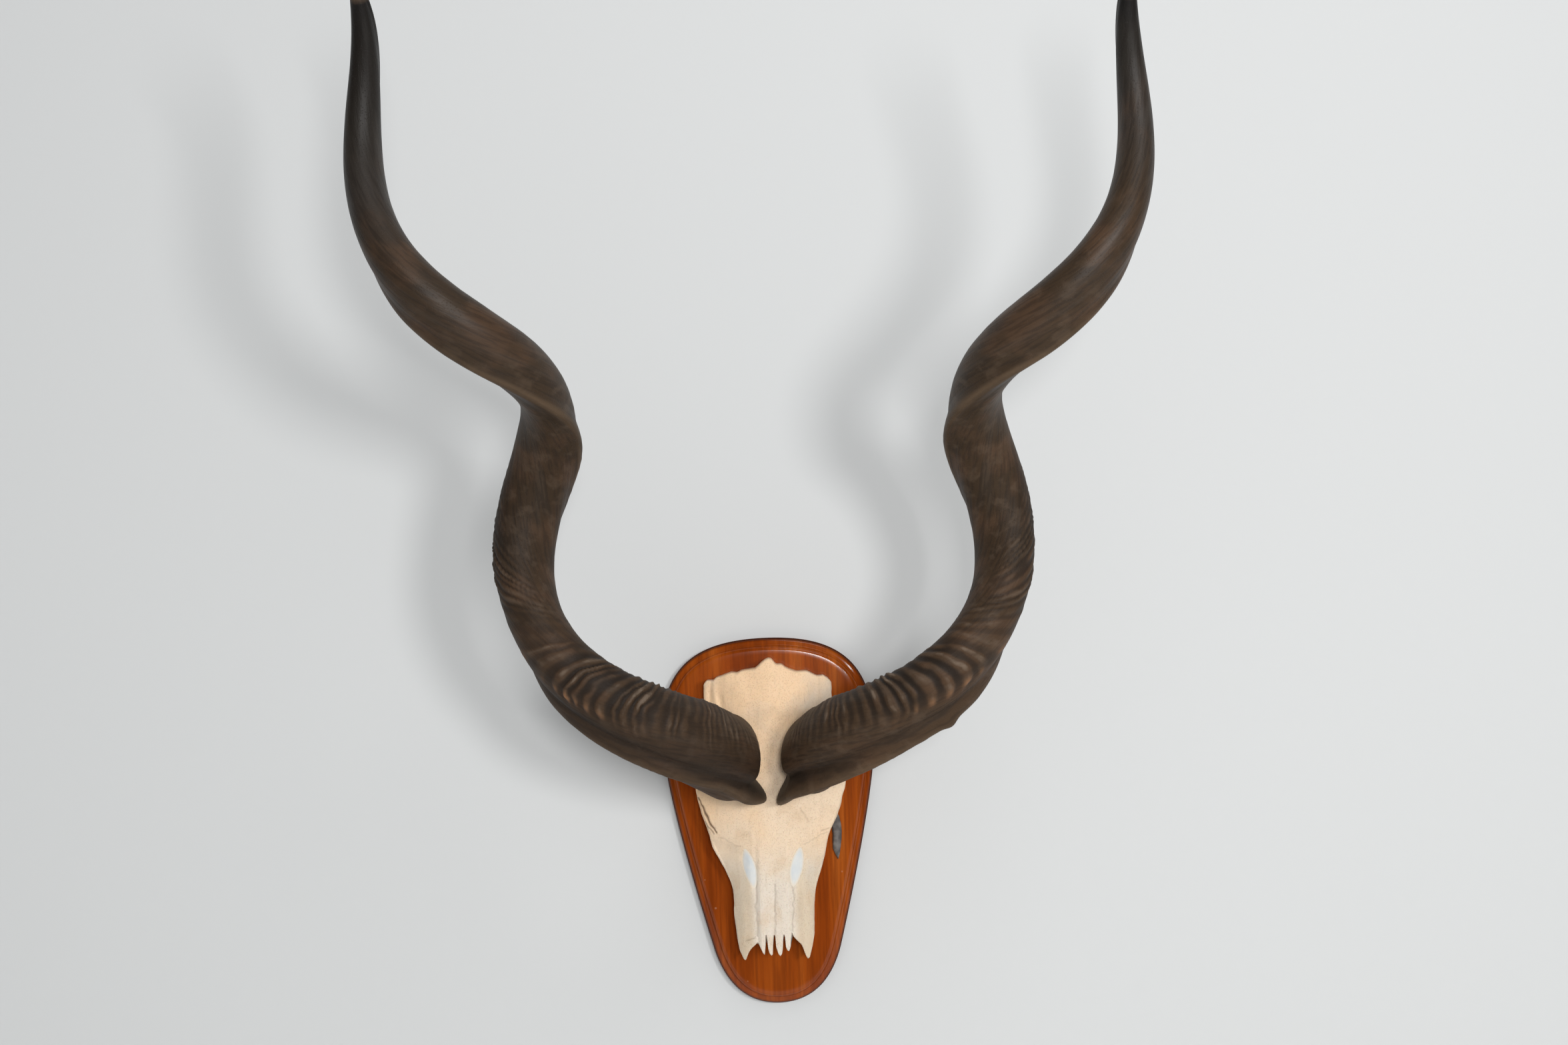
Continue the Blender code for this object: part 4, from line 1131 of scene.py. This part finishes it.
def buildShield():
    # the moulding's profile carried round the outline, each point moved in along the normal
    t = woodTones
    outline = shieldOutline()
    ahead = np.roll(outline, -1, 0) - np.roll(outline, 1, 0)
    ahead /= np.linalg.norm(ahead, axis=1)[:, None]
    inward = np.stack([ahead[:, 1], -ahead[:, 0]], 1)
    inward *= np.sign((inward * -outline).sum(1).mean())
    inset, high = mouldingProfile().T[:, :, None]
    flat = outline[None] + inset[..., None] * inward[None]
    rings = np.stack([flat[..., 0], -high + 0 * flat[..., 0], flat[..., 1]], -1) * mm
    fromBack = ramp(high, *t["backPlain"])  # the flat back is plain dull wood
    # painted shade on the outer rounding, where the edge turns away from the light
    rim = (1 - ramp(inset, t["rimFrom"], t["rimTo"])) * fromBack
    steep = np.arctan2(np.abs(np.gradient(high, axis=0)),
                       np.abs(np.gradient(inset, axis=0)) + 1e-6)
    varnish = t["varnish"] * (1 - ramp(steep, *t["bareAt"])) * fromBack
    marks = {title: np.repeat(values, rings.shape[1], 1)
             for title, values in (("rim", rim), ("varnish", varnish))}
    addPiece("plaque_wood", rings, ringFaces(*rings.shape[:2]), marks, ["plaque"],
             woodFinish())


buildShield()


# Grey wedge behind the right eye socket, in mm

wedgeForm = dict(outline=[(56, 4), (59, 7), (62, 8), (65.5, 5), (68, 0), (69.4, -7), (70, -14),
                          (69.6, -22), (68.5, -30), (67.3, -37), (65.5, -43), (63, -38),
                          (60.5, -32), (60.4, -24), (60.8, -17), (60, -10), (58, -2)],
                 back=20.3, thick=6.0, edgeShare=0.45, crownShare=0.5, chips=0.5, chipSize=6,
                 thinnest=0.4, thickest=5.8, rings=14, backRings=6, around=102, centre=0.04,
                 dark=(0.085, 0.078, 0.075), light=(0.19, 0.175, 0.165))


def wedgeFinish():
    # mottled dark grey
    made, tree, shader = newMaterial("greyWedge", 0.7, 0.3)
    spots = useGroup(tree, speckle, Place=objectPlace(tree), Mottle=120.0, Pits=900.0)
    grey = blend(tree, softStep(tree, spots["Mottle"], 0.35, 0.7), wedgeForm["dark"],
                 wedgeForm["light"])
    tree.links.new(grey, shader.inputs["Base Color"])
    bump(tree, shader, spots["Mottle"], 0.001, 0.8)
    return made


def buildWedge():
    # rings that shrink towards the blade's middle, the front crowned and chipped, the back flat
    w = wedgeForm
    corners = np.array(w["outline"], float)
    t = np.linspace(0, len(corners), w["around"], endpoint=False)
    closed = np.concatenate([corners, corners[:1]])
    outline = np.stack([np.interp(t, np.arange(len(closed)), closed[:, k]) for k in (0, 1)], 1)
    middle = outline.mean(0)
    share = np.concatenate([np.linspace(w["centre"], 1, w["rings"]),
                            np.linspace(1, w["centre"], w["backRings"])])[:, None, None]
    flat = middle + (outline - middle)[None] * share
    isTop = (np.arange(len(share)) < w["rings"])[:, None]
    place = np.concatenate([flat, 0 * flat[..., :1]], -1)
    crown = (w["thick"] * (w["edgeShare"] + w["crownShare"] * (1 - share[..., 0] ** 3))
             - w["chips"] * roughNoise(place, w["chipSize"], 61))
    high = w["back"] + np.where(isTop, np.clip(crown, w["thinnest"], w["thickest"]), 0.0)
    rings = np.stack([flat[..., 0], -high, flat[..., 1]], -1) * mm
    addPiece("grey_wedge", rings, ringFaces(*rings.shape[:2]), {}, ["packing_wedge"],
             wedgeFinish())


buildWedge()
